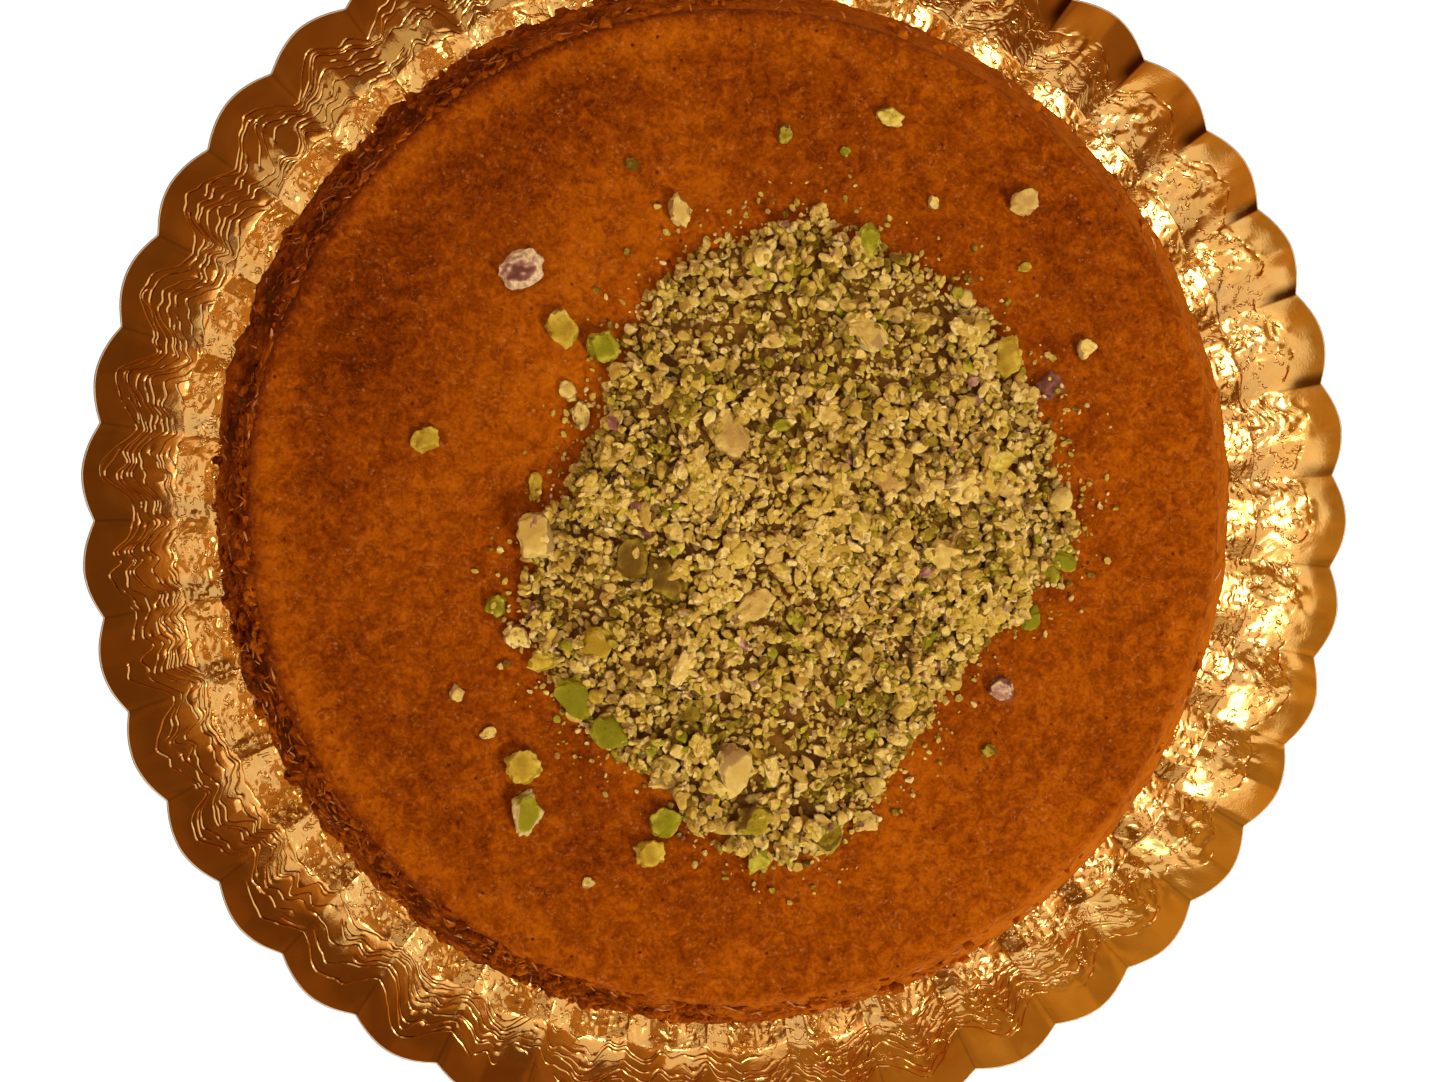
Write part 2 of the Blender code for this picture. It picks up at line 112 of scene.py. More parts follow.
# The large pieces of the heap in millimetres: x, y, length, width, turn in degrees, kind.
HEAP_PIECES = (
    (63.5, 38.2, 10.8, 6.4, 82, "yellow"), (-1.8, 20.2, 12.0, 8.2, 118, "rosy"),
    (-16.2, -12.2, 12.0, 9.5, 130, "olive"), (3.6, -19.4, 11.8, 7.0, 35, "cream"),
    (30.3, 43.4, 10.0, 6.5, 140, "cream"), (21.0, 24.9, 6.2, 5.4, 20, "cream"),
    (35.2, 9.7, 8.4, 7.6, 10, "rosy"), (52.3, 8.1, 9.6, 6.8, 25, "cream"),
    (48.4, -7.9, 8.6, 7.4, 150, "cream"), (-0.4, -57.0, 13.2, 9.6, 95, "cream"),
    (-31.8, -27.2, 8.6, 8.0, 12, "yellow"), (-37.2, -40.0, 11.4, 7.6, 110, "green"),
    (-29.1, -48.3, 9.6, 7.6, 150, "green"), (-45.9, -2.8, 11.2, 8.4, 110, "cream"),
    (-44.4, -31.8, 8.0, 5.2, 5, "yellow"), (21.4, -72.8, 8.6, 7.0, 60, "olive"),
    (5.4, -79.6, 7.4, 5.0, 50, "green"), (77.2, -9.4, 6.4, 4.6, 165, "green"),
    (30.2, 64.1, 8.8, 5.6, 100, "green"), (4.0, -69.0, 10.0, 8.0, 30, "olive"),
    (-24.0, -8.0, 10.6, 7.6, 85, "olive"), (-12.5, -33.0, 9.4, 4.4, 62, "cream"),
    (-16.6, -60.4, 8.0, 3.8, 10, "cream"),
)
# The loose nuts that are nodes: node, x, y, length, width, height, turn, kind.
NUTS = (
    ("nut_purple_skin", -48.7, 57.6, 10.9, 8.8, 3.6, 25, "skin"),
    ("nut_block", -48.2, -67.0, 11.2, 7.8, 4.2, 85, "margin"),
    ("nut_wedge", -49.0, -56.2, 8.4, 8.0, 3.4, 15, "yellow"),
    ("nut_green", -30.2, 40.4, 8.4, 7.4, 3.6, 150, "green"),
    ("nut_drop", -39.6, 44.1, 9.2, 7.2, 3.0, 110, "yellow"),
    ("nut_leaf", -15.9, -69.7, 8.4, 7.4, 3.4, 5, "green"),
    ("nut_pale", -19.9, -77.0, 7.6, 6.4, 3.0, 20, "yellow"),
    ("nut_stub", -12.6, 71.2, 8.4, 5.6, 3.4, 95, "cream"),
)
# Smaller loose pieces on the kunafa, listed as the large pieces of the heap are.
CRUMBS = (
    (-70.7, 19.0, 7.2, 5.4, 25, "yellow"), (35.7, 93.2, 6.6, 4.6, 160, "yellow"),
    (11.5, 88.9, 4.6, 3.6, 80, "olive"), (67.4, 74.2, 7.0, 6.4, 0, "rosy"),
    (82.3, 40.2, 5.0, 4.4, 60, "cream"), (73.6, 31.5, 6.8, 6.4, 30, "skin"),
    (63.1, -39.5, 6.4, 6.0, 0, "skin"), (60.3, -54.3, 3.8, 3.4, 40, "olive"),
    (-64.2, -39.0, 4.4, 3.6, 100, "cream"), (-34.1, -84.1, 3.2, 2.8, 0, "cream"),
    (-38.4, 30.0, 5.6, 4.0, 120, "cream"), (-35.4, 24.6, 7.0, 4.2, 100, "cream"),
    (-23.6, 81.6, 3.2, 3.0, 0, "olive"), (46.1, 73.9, 3.6, 2.8, 120, "cream"),
    (-57.2, -48.6, 4.2, 2.8, 20, "cream"), (-45.8, 8.4, 6.6, 3.2, 95, "yellow"),
    (25.5, 85.3, 2.8, 2.4, 0, "green"), (67.8, 59.2, 3.6, 2.4, 20, "yellow"),
    (-55.0, -19.0, 5.6, 5.0, 40, "green"), (-50.2, -26.2, 7.4, 5.4, 155, "cream"),
    (30.7, -70.6, 6.2, 5.2, 10, "cream"), (70.1, -22.7, 6.8, 4.8, 70, "green"),
    (19.2, 71.4, 4.6, 4.0, 20, "cream"),
)


# ---- Noise
HASH_FACTORS = (73856093, 19349663, 83492791, 2654435)
HASH_ROUNDS = ((13, 1274126177), (15, 668265263))


def smooth_step(low, high, value):
    share = np.clip((value - low) / (high - low), 0, 1)
    return share * share * (3 - 2 * share)


def lattice_value(x, y, z, seed):
    """A repeatable value from -1 to 1 for each whole-numbered point."""
    mixed = 0
    for part, factor in zip((x, y, z, seed), HASH_FACTORS):
        mixed = mixed ^ (part * factor)
    for shift, factor in HASH_ROUNDS:
        mixed = ((mixed ^ (mixed >> shift)) * factor) & 0x7FFFFFFF
    return ((mixed >> 8) & 0xFFFF) / 32767.5 - 1


def smooth_noise(x, y, z=0.0, seed=0):
    """Smooth noise from -1 to 1, with one cell for each unit."""
    axes = np.broadcast_arrays(x, y, z)
    cells = [np.floor(axis).astype(np.int64) for axis in axes]
    inside = [smooth_step(0, 1, axis - cell) for axis, cell in zip(axes, cells)]
    total = np.zeros(axes[0].shape)
    for corner in np.ndindex(2, 2, 2):
        weight = 1.0
        for share, upper in zip(inside, corner):
            weight = weight * (share if upper else 1 - share)
        total += weight * lattice_value(*(cell + step for cell, step in zip(cells, corner)), seed)
    return total


def ripple(x, y, size, seed):
    """Smooth noise over the plane, with cells of this size."""
    return smooth_noise(x / size, y / size, 0, seed)


def cell_pattern(x, y, seed):
    """Distances to the nearest and second cell centre, and the place of the nearest one."""
    low_x = np.floor(x).astype(np.int64)
    low_y = np.floor(y).astype(np.int64)
    first = np.full(x.shape, 9.0)
    second = first.copy()
    centre_x = np.zeros(x.shape)
    centre_y = np.zeros(x.shape)
    for dx, dy in np.ndindex(3, 3):
        cell = (low_x + dx - 1, low_y + dy - 1)
        place_x = cell[0] + 0.5 + 0.45 * lattice_value(*cell, 0, seed)
        place_y = cell[1] + 0.5 + 0.45 * lattice_value(*cell, 1, seed)
        distance = np.hypot(place_x - x, place_y - y)
        closer = distance < first
        second = np.where(closer, first, np.minimum(second, distance))
        centre_x = np.where(closer, place_x, centre_x)
        centre_y = np.where(closer, place_y, centre_y)
        first = np.where(closer, distance, first)
    return first, second, centre_x, centre_y


# ---- Meshes
def new_object(name, points, faces, attributes=()):
    """A mesh object from points and faces, with values for each point by name."""
    mesh = bpy.data.meshes.new(name)
    mesh.from_pydata(points.tolist(), [], [list(map(int, face)) for face in faces])
    for label, values in attributes:
        layer = mesh.attributes.new(label, "FLOAT", "POINT")
        layer.data.foreach_set("value", np.asarray(values, dtype=np.float32))
    mesh.update()
    piece = bpy.data.objects.new(name, mesh)
    bpy.context.scene.collection.objects.link(piece)
    return piece


class Surface:
    """Points, values by name for each of them, and faces, gathered part by part."""

    def __init__(self, *labels):
        self.labels = labels
        self.points = []
        self.values = []
        self.faces = []
        self.total = 0

    def add(self, points, *values, faces=()):
        """Take in points with their values, and faces that count from the first of them."""
        numbers = self.total + np.arange(len(points))
        self.points.append(points)
        self.values.append([value + np.zeros(len(points)) for value in values])
        self.faces += list(np.array(faces, dtype=int) + self.total)
        self.total += len(points)
        return numbers

    def band(self, ring, following):
        """Join two closed rings, with as many points each, by four-sided faces."""
        corners = (ring, following, np.roll(following, -1), np.roll(ring, -1))
        self.faces += list(np.stack(corners, -1))

    def make(self, name, centre=(0, 0, 0)):
        values = [np.concatenate(parts) for parts in zip(*self.values)]
        points = np.concatenate(self.points) + np.array(centre)
        return new_object(name, points, self.faces, list(zip(self.labels, values)))


def disc_grid(cells):
    """A unit disc bent from a square grid: x, y, its faces, and its rim's points in turn."""
    steps = np.linspace(-1, 1, cells + 1)
    u, v = np.meshgrid(steps, steps, indexing="xy")
    x = (u * np.sqrt(1 - v * v / 2)).ravel()
    y = (v * np.sqrt(1 - u * u / 2)).ravel()
    index = np.arange((cells + 1) ** 2).reshape(cells + 1, cells + 1)
    corners = (index[:-1, :-1], index[:-1, 1:], index[1:, 1:], index[1:, :-1])
    rim = np.concatenate((index[0, :-1], index[:-1, -1], index[-1, :0:-1], index[:0:-1, 0]))
    return x, y, np.stack(corners, -1).reshape(-1, 4), rim


def shade(piece, degrees):
    """Smooth shading, but for edges that turn by more than this."""
    piece.data.shade_smooth()
    piece.data.set_sharp_from_angle(angle=math.radians(degrees))


def keep(piece, node, slot, *materials):
    """Give a piece its materials, and let it stand for a node of the solid model."""
    for material in materials:
        piece.data.materials.append(material)
    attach(piece, "root")
    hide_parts(node)


# ---- Materials
def srgb(red, green, blue):
    """A colour of 0 to 255 as linear light, with full opacity."""
    share = np.array((red, green, blue)) / 255
    linear = np.where(share < 0.04045, share / 12.92, ((share + 0.055) / 1.055) ** 2.4)
    return (*linear.tolist(), 1)


class Nodes:
    """A node tree whose nodes are added and linked one call at a time."""

    def __init__(self, tree, place):
        self.tree = tree
        self.place = self.add("TexCoord").outputs[place]

    def add(self, kind, **settings):
        node = self.tree.nodes.new("ShaderNode" + kind)
        for name, value in settings.items():
            setattr(node, name, value)
        return node

    def give(self, socket, value):
        """A plain value for a socket, or a link to it."""
        if isinstance(value, bpy.types.NodeSocket):
            self.tree.links.new(value, socket)
        else:
            socket.default_value = value

    def fill(self, node, **values):
        """Values or links for sockets by name, with _ for each space."""
        for name, value in values.items():
            self.give(node.inputs[name.replace("_", " ")], value)
        return node

    def noise(self, size, detail=3.0, roughness=0.55, distortion=0.0):
        """Noise from 0 to 1 with features of this size in metres."""
        node = self.fill(self.add("TexNoise"), Vector=self.place, Scale=1 / size)
        self.fill(node, Detail=detail, Roughness=roughness, Distortion=distortion)
        return node.outputs["Fac"]

    def veins(self, size, distortion):
        """0 along thin winding lines, and more beside them."""
        middle = self.math("SUBTRACT", self.noise(size, 1.0, 0.5, distortion), 0.5)
        return self.math("ABSOLUTE", middle, 0.0)

    def cells(self, size):
        """Distance to the nearest of scattered points, which are this far apart."""
        node = self.fill(self.add("TexVoronoi"), Vector=self.place, Scale=1 / size)
        return node.outputs["Distance"]

    def attribute(self, name):
        return self.add("Attribute", attribute_name=name).outputs["Fac"]

    def math(self, operation, first, second):
        node = self.add("Math", operation=operation)
        for socket, value in zip(node.inputs, (first, second)):
            self.give(socket, value)
        return node.outputs["Value"]

    def along(self, direction):
        """How far the place lies along a direction."""
        node = self.add("VectorMath", operation="DOT_PRODUCT")
        self.give(node.inputs[0], self.place)
        self.give(node.inputs[1], direction)
        return node.outputs["Value"]

    def spread(self, value, low, high, to_low=0.0, to_high=1.0, way="LINEAR"):
        """Map the range low..high to to_low..to_high, held at its ends."""
        node = self.add("MapRange", interpolation_type=way)
        self.fill(node, Value=value, From_Min=low, From_Max=high, To_Min=to_low, To_Max=to_high)
        return node.outputs["Result"]

    def vary(self, noise, low, high):
        """Map the usual range of noise to low..high."""
        return self.spread(noise, 0.3, 0.7, low, high)

    def ramp(self, value, *stops):
        """A colour from (place, colour) stops."""
        node = self.fill(self.add("ValToRGB"), Fac=value)
        elements = node.color_ramp.elements
        while len(elements) < len(stops):
            elements.new(1.0)
        for element, (place, colour) in zip(elements, stops):
            element.position = place
            element.color = colour
        return node.outputs["Color"]

    def mix(self, share, first, second, blend="MIX"):
        node = self.fill(self.add("Mix", data_type="RGBA", blend_type=blend), Factor=share)
        sockets = [socket for socket in node.inputs if socket.type == "RGBA"]
        for socket, value in zip(sockets, (first, second)):
            self.give(socket, value)
        return [socket for socket in node.outputs if socket.type == "RGBA"][0]

    def bump(self, height, strength, distance, **below):
        node = self.fill(self.add("Bump"), Height=height, Strength=strength, Distance=distance)
        return self.fill(node, **below).outputs["Normal"]


class Material(Nodes):
    """A material with one principled shader."""

    def __init__(self, name, **constants):
        self.material = bpy.data.materials.new(name)
        self.material.use_nodes = True
        super().__init__(self.material.node_tree, "Object")
        self.shader = self.fill(self.tree.nodes["Principled BSDF"], **constants)

    def finish(self, colour, roughness, **normal):
        self.fill(self.shader, Base_Color=colour, Roughness=roughness, **normal)
        return self.material


def foil_material():
    """Gold foil, a little cloudy, with a fine crackle, and folds darkened by painted shade and a
    painted dark reflection.
    """
    nodes = Material("gold_foil", Metallic=1.0)
    clouds = ((0.35, (0.86, 0.48, 0.105, 1)), (0.65, (0.88, 0.53, 0.145, 1)))
    gold = nodes.ramp(nodes.noise(9 * MM), *clouds)
    # Painted shade and a painted dark reflection: the foil darkens in the creases and wedges of the
    # lip.
    gold = nodes.mix(nodes.attribute("painted_fold_shade"), gold, (0.09, 0.024, 0.003, 1))
    roughness = nodes.vary(nodes.noise(2.5 * MM), 0.08, 0.15)
    fine = nodes.bump(nodes.noise(0.55 * MM, 2.0), 0.35, 0.04 * MM)
    ticks = nodes.spread(nodes.veins(2.4 * MM, 1.2), 0.0, 0.05)
    broken = nodes.spread(nodes.noise(2.2 * MM, 1.0), 0.41, 0.47)
    ticks = nodes.math("SUBTRACT", nodes.math("MAXIMUM", ticks, broken), 1.0)
    crackle = nodes.math("MULTIPLY", ticks, nodes.attribute("crackle"))
    return nodes.finish(gold, roughness, Normal=nodes.bump(crackle, 1.0, 0.12 * MM, Normal=fine))


def paperboard_material():
    """The cut edge and the underside: pale fibres next to the foil, and below them a dark grey that is
    partly the board's grey and partly painted shadow along the cut edge.
    """
    nodes = Material("paperboard")
    # Painted shadow: the dark grey low on the cut edge stands partly for the edge's shadow.
    board_and_edge_shadow = ((0.3, srgb(58, 50, 40)), (0.55, srgb(240, 218, 176)))
    fibres = nodes.noise(0.7 * MM, 4.0)
    shadows = nodes.ramp(fibres, (0.3, (0.6, 0.6, 0.6, 1)), (0.7, (1, 1, 1, 1)))
    colour = nodes.mix(0.35, nodes.ramp(nodes.attribute("layer"), *board_and_edge_shadow), shadows, "MULTIPLY")
    fuzz = nodes.bump(fibres, 0.3, 0.1 * MM)
    return nodes.finish(colour, nodes.vary(fibres, 0.75, 0.95), Normal=fuzz)


def crust_material():
    """Toasted crumb: light to dark by how long it browned, with grains and specks; pale shreds and
    strands that are partly a painted sheen, and painted glints.
    """
    nodes = Material("kunafa_crust", Specular_IOR_Level=0.12, Specular_Tint=(1.0, 0.42, 0.06, 1))
    grain = nodes.noise(0.9 * MM, 3.0, 0.65)
    clumps = nodes.noise(2.6 * MM, 3.0, 0.55, 0.8)
    toast = nodes.attribute("toast")
    uneven = nodes.math("ADD", toast, nodes.vary(clumps, -0.2, 0.2))
    uneven = nodes.math("ADD", uneven, nodes.vary(grain, -0.15, 0.15))
    colour = nodes.ramp(
        uneven,
        (0.0, (0.50, 0.125, 0.003, 1)),
        (0.3, (0.36, 0.078, 0.002, 1)),
        (0.5, (0.255, 0.048, 0.0012, 1)),
        (0.75, (0.155, 0.024, 0.0008, 1)),
        (1.0, (0.075, 0.011, 0.0006, 1)),
    )
    # Pale shreds: partly their own pale dough, partly a painted sheen of syrup.
    pale_shred_sheen = nodes.spread(toast, -0.6, -0.2, 0.85, 0.0)
    colour = nodes.mix(pale_shred_sheen, colour, (0.60, 0.28, 0.10, 1))
    specks = nodes.spread(nodes.cells(6.5 * MM), 0.04, 0.10)
    colour = nodes.mix(specks, (0.10, 0.014, 0.001, 1), colour)
    patches = nodes.spread(nodes.noise(4.0 * MM), 0.42, 0.6)
    # Pale strands, partly a painted sheen, and painted glints, both in patches.
    strands_and_sheen = nodes.spread(nodes.veins(2.2 * MM, 1.6), 0.0, 0.035, 1.0, 0.0)
    faint = nodes.spread(nodes.noise(1.3 * MM), 0.48, 0.6, 0.0, 0.5)
    strands_and_sheen = nodes.math("MULTIPLY", strands_and_sheen, faint)
    glints = nodes.spread(nodes.cells(2.3 * MM), 0.06, 0.24, 0.45, 0.0)
    for share, light in ((strands_and_sheen, (0.60, 0.22, 0.05, 1)), (glints, (0.60, 0.20, 0.045, 1))):
        colour = nodes.mix(nodes.math("MULTIPLY", share, patches), colour, light)
    roughness = nodes.math("SUBTRACT", nodes.vary(grain, 0.45, 0.68), nodes.attribute("syrup"))
    coarse = nodes.bump(clumps, 0.4, 0.6 * MM)
    return nodes.finish(colour, roughness, Normal=nodes.bump(grain, 0.6, 0.3 * MM, Normal=coarse))


# For each kind of nut: its slot, and its colours at these tints, the darkest first.
NUT_TINTS = (0.0, 0.35, 0.7, 1.0)
NUT_KINDS = {
    "cream": ("pistachio", (204, 166, 74), (232, 200, 108), (234, 202, 94), (246, 222, 146)),
    "pale": ("pistachio", (184, 146, 54), (208, 172, 76), (214, 182, 66), (228, 196, 98)),
    "olive": ("pistachio", (106, 76, 16), (150, 120, 32), (164, 144, 26), (190, 164, 56)),
    "green": ("pistachio_green", (132, 124, 16), (164, 152, 26), (202, 184, 62), (192, 176, 48)),
    "margin": ("pistachio_green", (146, 134, 22), (170, 156, 34), (204, 188, 84), (230, 206, 138)),
    "yellow": ("pistachio_yellow", (168, 132, 30), (206, 172, 52), (212, 184, 62), (230, 202, 96)),
    "skin": ("pistachio_skin", (112, 64, 50), (158, 102, 80), (202, 156, 122), (236, 204, 146)),
    "rosy": ("pistachio", (194, 150, 74), (220, 188, 96), (226, 196, 96), (238, 210, 126)),
    # The core's colours are dark brown, a painted shade for the gaps between the bits that lie on it.
    "core": ("pistachio", (100, 58, 10), (140, 94, 22), (158, 116, 30), (174, 130, 38)),
}
# The old outside of a nut, where it isn't the darkest colour of its kind.
NUT_RINDS = {
    "cream": (170, 132, 70), "skin": (128, 80, 60), "rosy": (190, 150, 72), "margin": (212, 186, 112),
}


def nut_material(kind):
    """Chopped nut: each piece its own shade, cut faces lighter than what was the outside."""
    nodes = Material("nut_" + kind, Specular_IOR_Level=0.3, Specular_Tint=(1.0, 0.8, 0.45, 1))
    shades = [srgb(*colour) for colour in NUT_KINDS[kind][1:]]
    darkest = shades[0]
    colour = nodes.ramp(nodes.attribute("tint"), *zip(NUT_TINTS, shades))
    mottle = nodes.noise(1.1 * MM, 4.0, 0.6)
    colour = nodes.mix(nodes.spread(mottle, 0.42, 0.7, 0.0, 0.75), colour, darkest)
    # Painted shade: dark spots, as shade in small pits.
    pit_shade = nodes.spread(nodes.cells(2.2 * MM), 0.05, 0.14, 0.55, 0.0)
    colour = nodes.mix(pit_shade, colour, tuple(0.45 * value for value in darkest[:3]) + (1,))
    rind = srgb(*NUT_RINDS[kind]) if kind in NUT_RINDS else darkest
    colour = nodes.mix(nodes.attribute("rind"), colour, rind)
    grain = nodes.noise(0.35 * MM, 3.0)
    coarse = nodes.bump(mottle, 0.7, 0.6 * MM)
    normal = nodes.bump(grain, 0.5, 0.15 * MM, Normal=coarse)
    return nodes.finish(colour, nodes.vary(grain, 0.45, 0.7), Normal=normal)


# ---- Tray
# All lengths of the embossing are in millimetres; across is the way from the floor to the lip.
COLUMNS_PER_PETAL = 40
CREASE_HALF_WIDTH = 0.024           # as a share of a petal
CREASE_GROOVE = 0.09
WEDGES_TURN = math.radians(48)      # the painted shade in the lip's folds is darkest around here
REACH = TRAY_REACH / MM
MIDDLE_RADIUS = 136                 # turns an angle into a length along the wall
LINES = 13
LINES_START, START_ZIGZAG = 9.4, 0.8
LINES_END, END_ZIGZAG = 26.4, 2.8
INNER_FLANK, OUTER_FLANK = 0.18, 0.30
FLANK_TILT = math.radians(3)        # the outer flank of a line is nearly level
HIGHEST_LINE = 0.55
APRON_RINGS, LIP_RINGS = 28, 8
PETAL_SWELL = 0.8
CREASE_ROUNDING = 0.15              # as a share of half a petal
PAD_FLANK = 0.5                     # the same; inside it the apron has a flat pad
FACET = 4.6
FLOOR_RINGS = (60 * MM, 112 * MM)   # radii
BENT_BOARD = 0.93 * BOARD           # the board is a little thinner at its cut edge
# Rings down the cut edge: share of its thickness, and how pale the board is there; its dark grey is
# partly painted shadow.
EDGE_RINGS = ((0.04, 1.0), (0.36, 1.0), (0.42, 0.9), (0.48, 0.0), (1.0, 0.0))
UNDERSIDE_RINGS = (0.8, 0.6, 0.43, 0.2, 0.0)    # as shares of the way out
TRAY_SHARP_EDGE = 24                # degrees


def crease_nearness(angle):
    """1 on a crease between two petals, 0 on the crown of a petal."""
    petal = angle * PETALS / TAU
    return 1 - 2 * np.abs(petal - np.floor(petal + 0.5))


def petal_share(angle):
    """0 to 1 through each petal."""
    petal = angle * PETALS / TAU
    return petal - np.floor(petal)


def lip_radius(angle):
    return TRAY_CREST_RADIUS - NOTCH_DEPTH * crease_nearness(angle) ** 2


def tray_height(share, angle):
    """Height of the smooth top face, from the floor of the tray to the lip."""
    foot = (WALL_FOOT_RADIUS - FLAT_RADIUS) / TRAY_REACH
    apron = APRON_RISE * np.minimum(1, share / foot) ** 1.5
    climb = np.maximum(0, (share - foot) / (1 - foot))
    first = (1 - foot) * TRAY_REACH * math.tan(WALL_FOOT_SLOPE)
    wall = first * climb + (WALL_RISE - first) * climb ** 2
    away = 1 - crease_nearness(angle)
    rounded = 1 + CREASE_ROUNDING - np.hypot(away, CREASE_ROUNDING)
    return BOARD + apron + wall - CREASE_DEPTH * share ** 1.5 * rounded ** 2


def wall_slope(share, angle):
    """Rise of the smooth top face for each unit of the way out."""
    small = 0.01
    rise = tray_height(share + small, angle) - tray_height(np.maximum(0, share - small), angle)
    return rise / (2 * small * TRAY_REACH)


def foil_relief(across, angle):
    """Embossing over the smooth face: swollen petals, facets, dents and fine waves."""
    share = across / REACH
    radius = FLAT_RADIUS / MM + across
    x = radius * np.cos(angle)
    y = radius * np.sin(angle)
    nearness = crease_nearness(angle)
    swell = np.interp(share, (0, 0.08, 0.22, 0.45, 1), (0.0, 0.4, 0.95, 1, 0.55))
    pad = smooth_step(0.48, 0.38, share)
    crown = (1 - nearness ** 2) * (1 - pad) + np.minimum(1, (1 - nearness) / PAD_FLANK) * pad
    apron = (1 - smooth_step(0.36, 0.46, share)) * smooth_step(0.0, 0.05, share)
    wall = smooth_step(0.36, 0.46, share) * (1 - smooth_step(0.78, 0.86, share))
    lip = smooth_step(0.74, 0.86, share)
    crumpled = wall * crumpling(angle)
    first, second, centre_x, centre_y = cell_pattern(x / FACET, y / FACET, 51)
    cell = ((centre_x * 97).astype(np.int64), (centre_y * 89).astype(np.int64))
    lean_x = lattice_value(*cell, 0, 52) * (x / FACET - centre_x)
    lean_y = lattice_value(*cell, 1, 53) * (y / FACET - centre_y)
    turn = 3.0 * lattice_value(*cell, 2, 54)
    along = x * np.cos(turn) + y * np.sin(turn)
    aside = y * np.cos(turn) - x * np.sin(turn)
    dents = smooth_step(0.42, 0.62, smooth_noise(along / 1.7, aside / 0.8, 0, 61))
    loops = np.cos(2 * TAU * ripple(x, y, 5, 76))
    relief = PETAL_SWELL * swell * crown
    relief = relief + 0.26 * (lean_x + lean_y) * (0.38 * apron + crumpled)
    relief = relief - 0.05 * (1 - smooth_step(0.0, 0.10, second - first)) * apron
    relief = relief - 0.16 * dents * (0.8 * apron + 0.5 * crumpled)
    relief = relief + 0.055 * loops * (0.25 * apron + crumpled)
    waves = (
        (0.12, 1.4, 71, 0.12 * apron + crumpled),
        (0.22, 2.8, 72, 0.15 * apron + crumpled),
        (0.05, 3.2, 74, wall),
        (0.13, 4.2, 75, lip),
        (0.14, 8.0, 73, 1),
    )
    for height, size, seed, where in waves:
        relief = relief + height * ripple(x, y, size, seed) * where
    return relief


def crumpling(angle):
    """How crumpled the wall is: smooth on the left; on the right more so in half of each petal."""
    right = smooth_step(0.1, 0.7, np.cos(angle + PETAL_PHASE))
    return 0.12 + right * (0.15 + 0.65 * smooth_step(0.3, 0.6, petal_share(angle)))


def embossed_rings(angle):
    """Every ring of the top: how far across it runs, and how high its line stands there."""
    right = smooth_step(0.45, 0.8, np.cos(angle + PETAL_PHASE))
    left = smooth_step(0.2, 0.75, -np.cos(angle + PETAL_PHASE))

    def wavering(size, row, seed):
        return smooth_noise(angle * MIDDLE_RADIUS / size, row, 0, seed)

    wiggle = 0.3 * wavering(2.4, 0.0, 12)
    inward = smooth_step(0, 1, crease_nearness(angle))
    start = LINES_START - START_ZIGZAG * inward + wiggle
    end = LINES_END + 1.0 * left - END_ZIGZAG * inward + 0.5 * wavering(4, 0.0, 11) + wiggle
    gaps = []
    for line in range(LINES + 1):
        wander = wavering(7, line * 5.3, 21) + 0.8 * wavering(2.8, line * 5.3, 25)
        gaps.append(np.exp((0.8 + 0.25 * left) * wander))
    whole = np.sum(gaps, axis=0)
    gaps = [gap / whole * (end - start) for gap in gaps]
    inner_flanks = [np.minimum(INNER_FLANK, 0.28 * gap) for gap in gaps]
    none = np.zeros(angle.shape)
    crest = start
    flank_start = start + 0.5 * gaps[0]
    rings = [(flank_start * ring / APRON_RINGS, none) for ring in range(APRON_RINGS)]
    for line in range(LINES):
        crest = crest + gaps[line]
        outer = np.minimum(OUTER_FLANK * (1 + 0.35 * left), 0.5 * gaps[line + 1])
        slope = wall_slope(crest / REACH, angle)
        rise = outer * np.maximum(0, slope - math.tan(FLANK_TILT))
        outermost = smooth_step(0.75, 1.0, line / (LINES - 1))
        scarce = -0.5 + 0.35 * outermost * (1 - 0.6 * left) + left * (0.2 if line % 2 else -0.35)
        shown = smooth_step(scarce, scarce + 0.4, wavering(6, line * 3.7, 22))
        shown = shown * smooth_step(-0.8, -0.3, wavering(1.9, line * 3.7, 23) + 0.25 * left)
        dashes = smooth_step(0.0, 0.3, wavering(1.3, line, 24)) * (line == LINES - 1)
        shown = shown * (1 - right) + dashes * right
        rings.append((crest - inner_flanks[line], none))
        rings.append((crest, np.minimum(rise, HIGHEST_LINE) * shown))
        rings.append((crest + outer, none))
        following = crest + gaps[line + 1] - inner_flanks[line + 1]
        rings.append(((crest + outer + following) / 2, none))
    last = rings[-1][0]
    for ring in range(1, LIP_RINGS + 1):
        rings.append((last + (REACH - last) * ring / LIP_RINGS, none))
    return rings


def petal_columns():
    """The angle of every column of the tray within its petals, and which columns are creases."""
    share = np.linspace(0, 1, COLUMNS_PER_PETAL - 1)[:-1]
    share = CREASE_HALF_WIDTH + share * (1 - 2 * CREASE_HALF_WIDTH)
    share = np.concatenate(((0,), share, (1 - CREASE_HALF_WIDTH,)))
    angle = ((np.arange(PETALS)[:, None] + share[None, :]) * TAU / PETALS).ravel()
    return angle, np.tile(share == 0, PETALS)


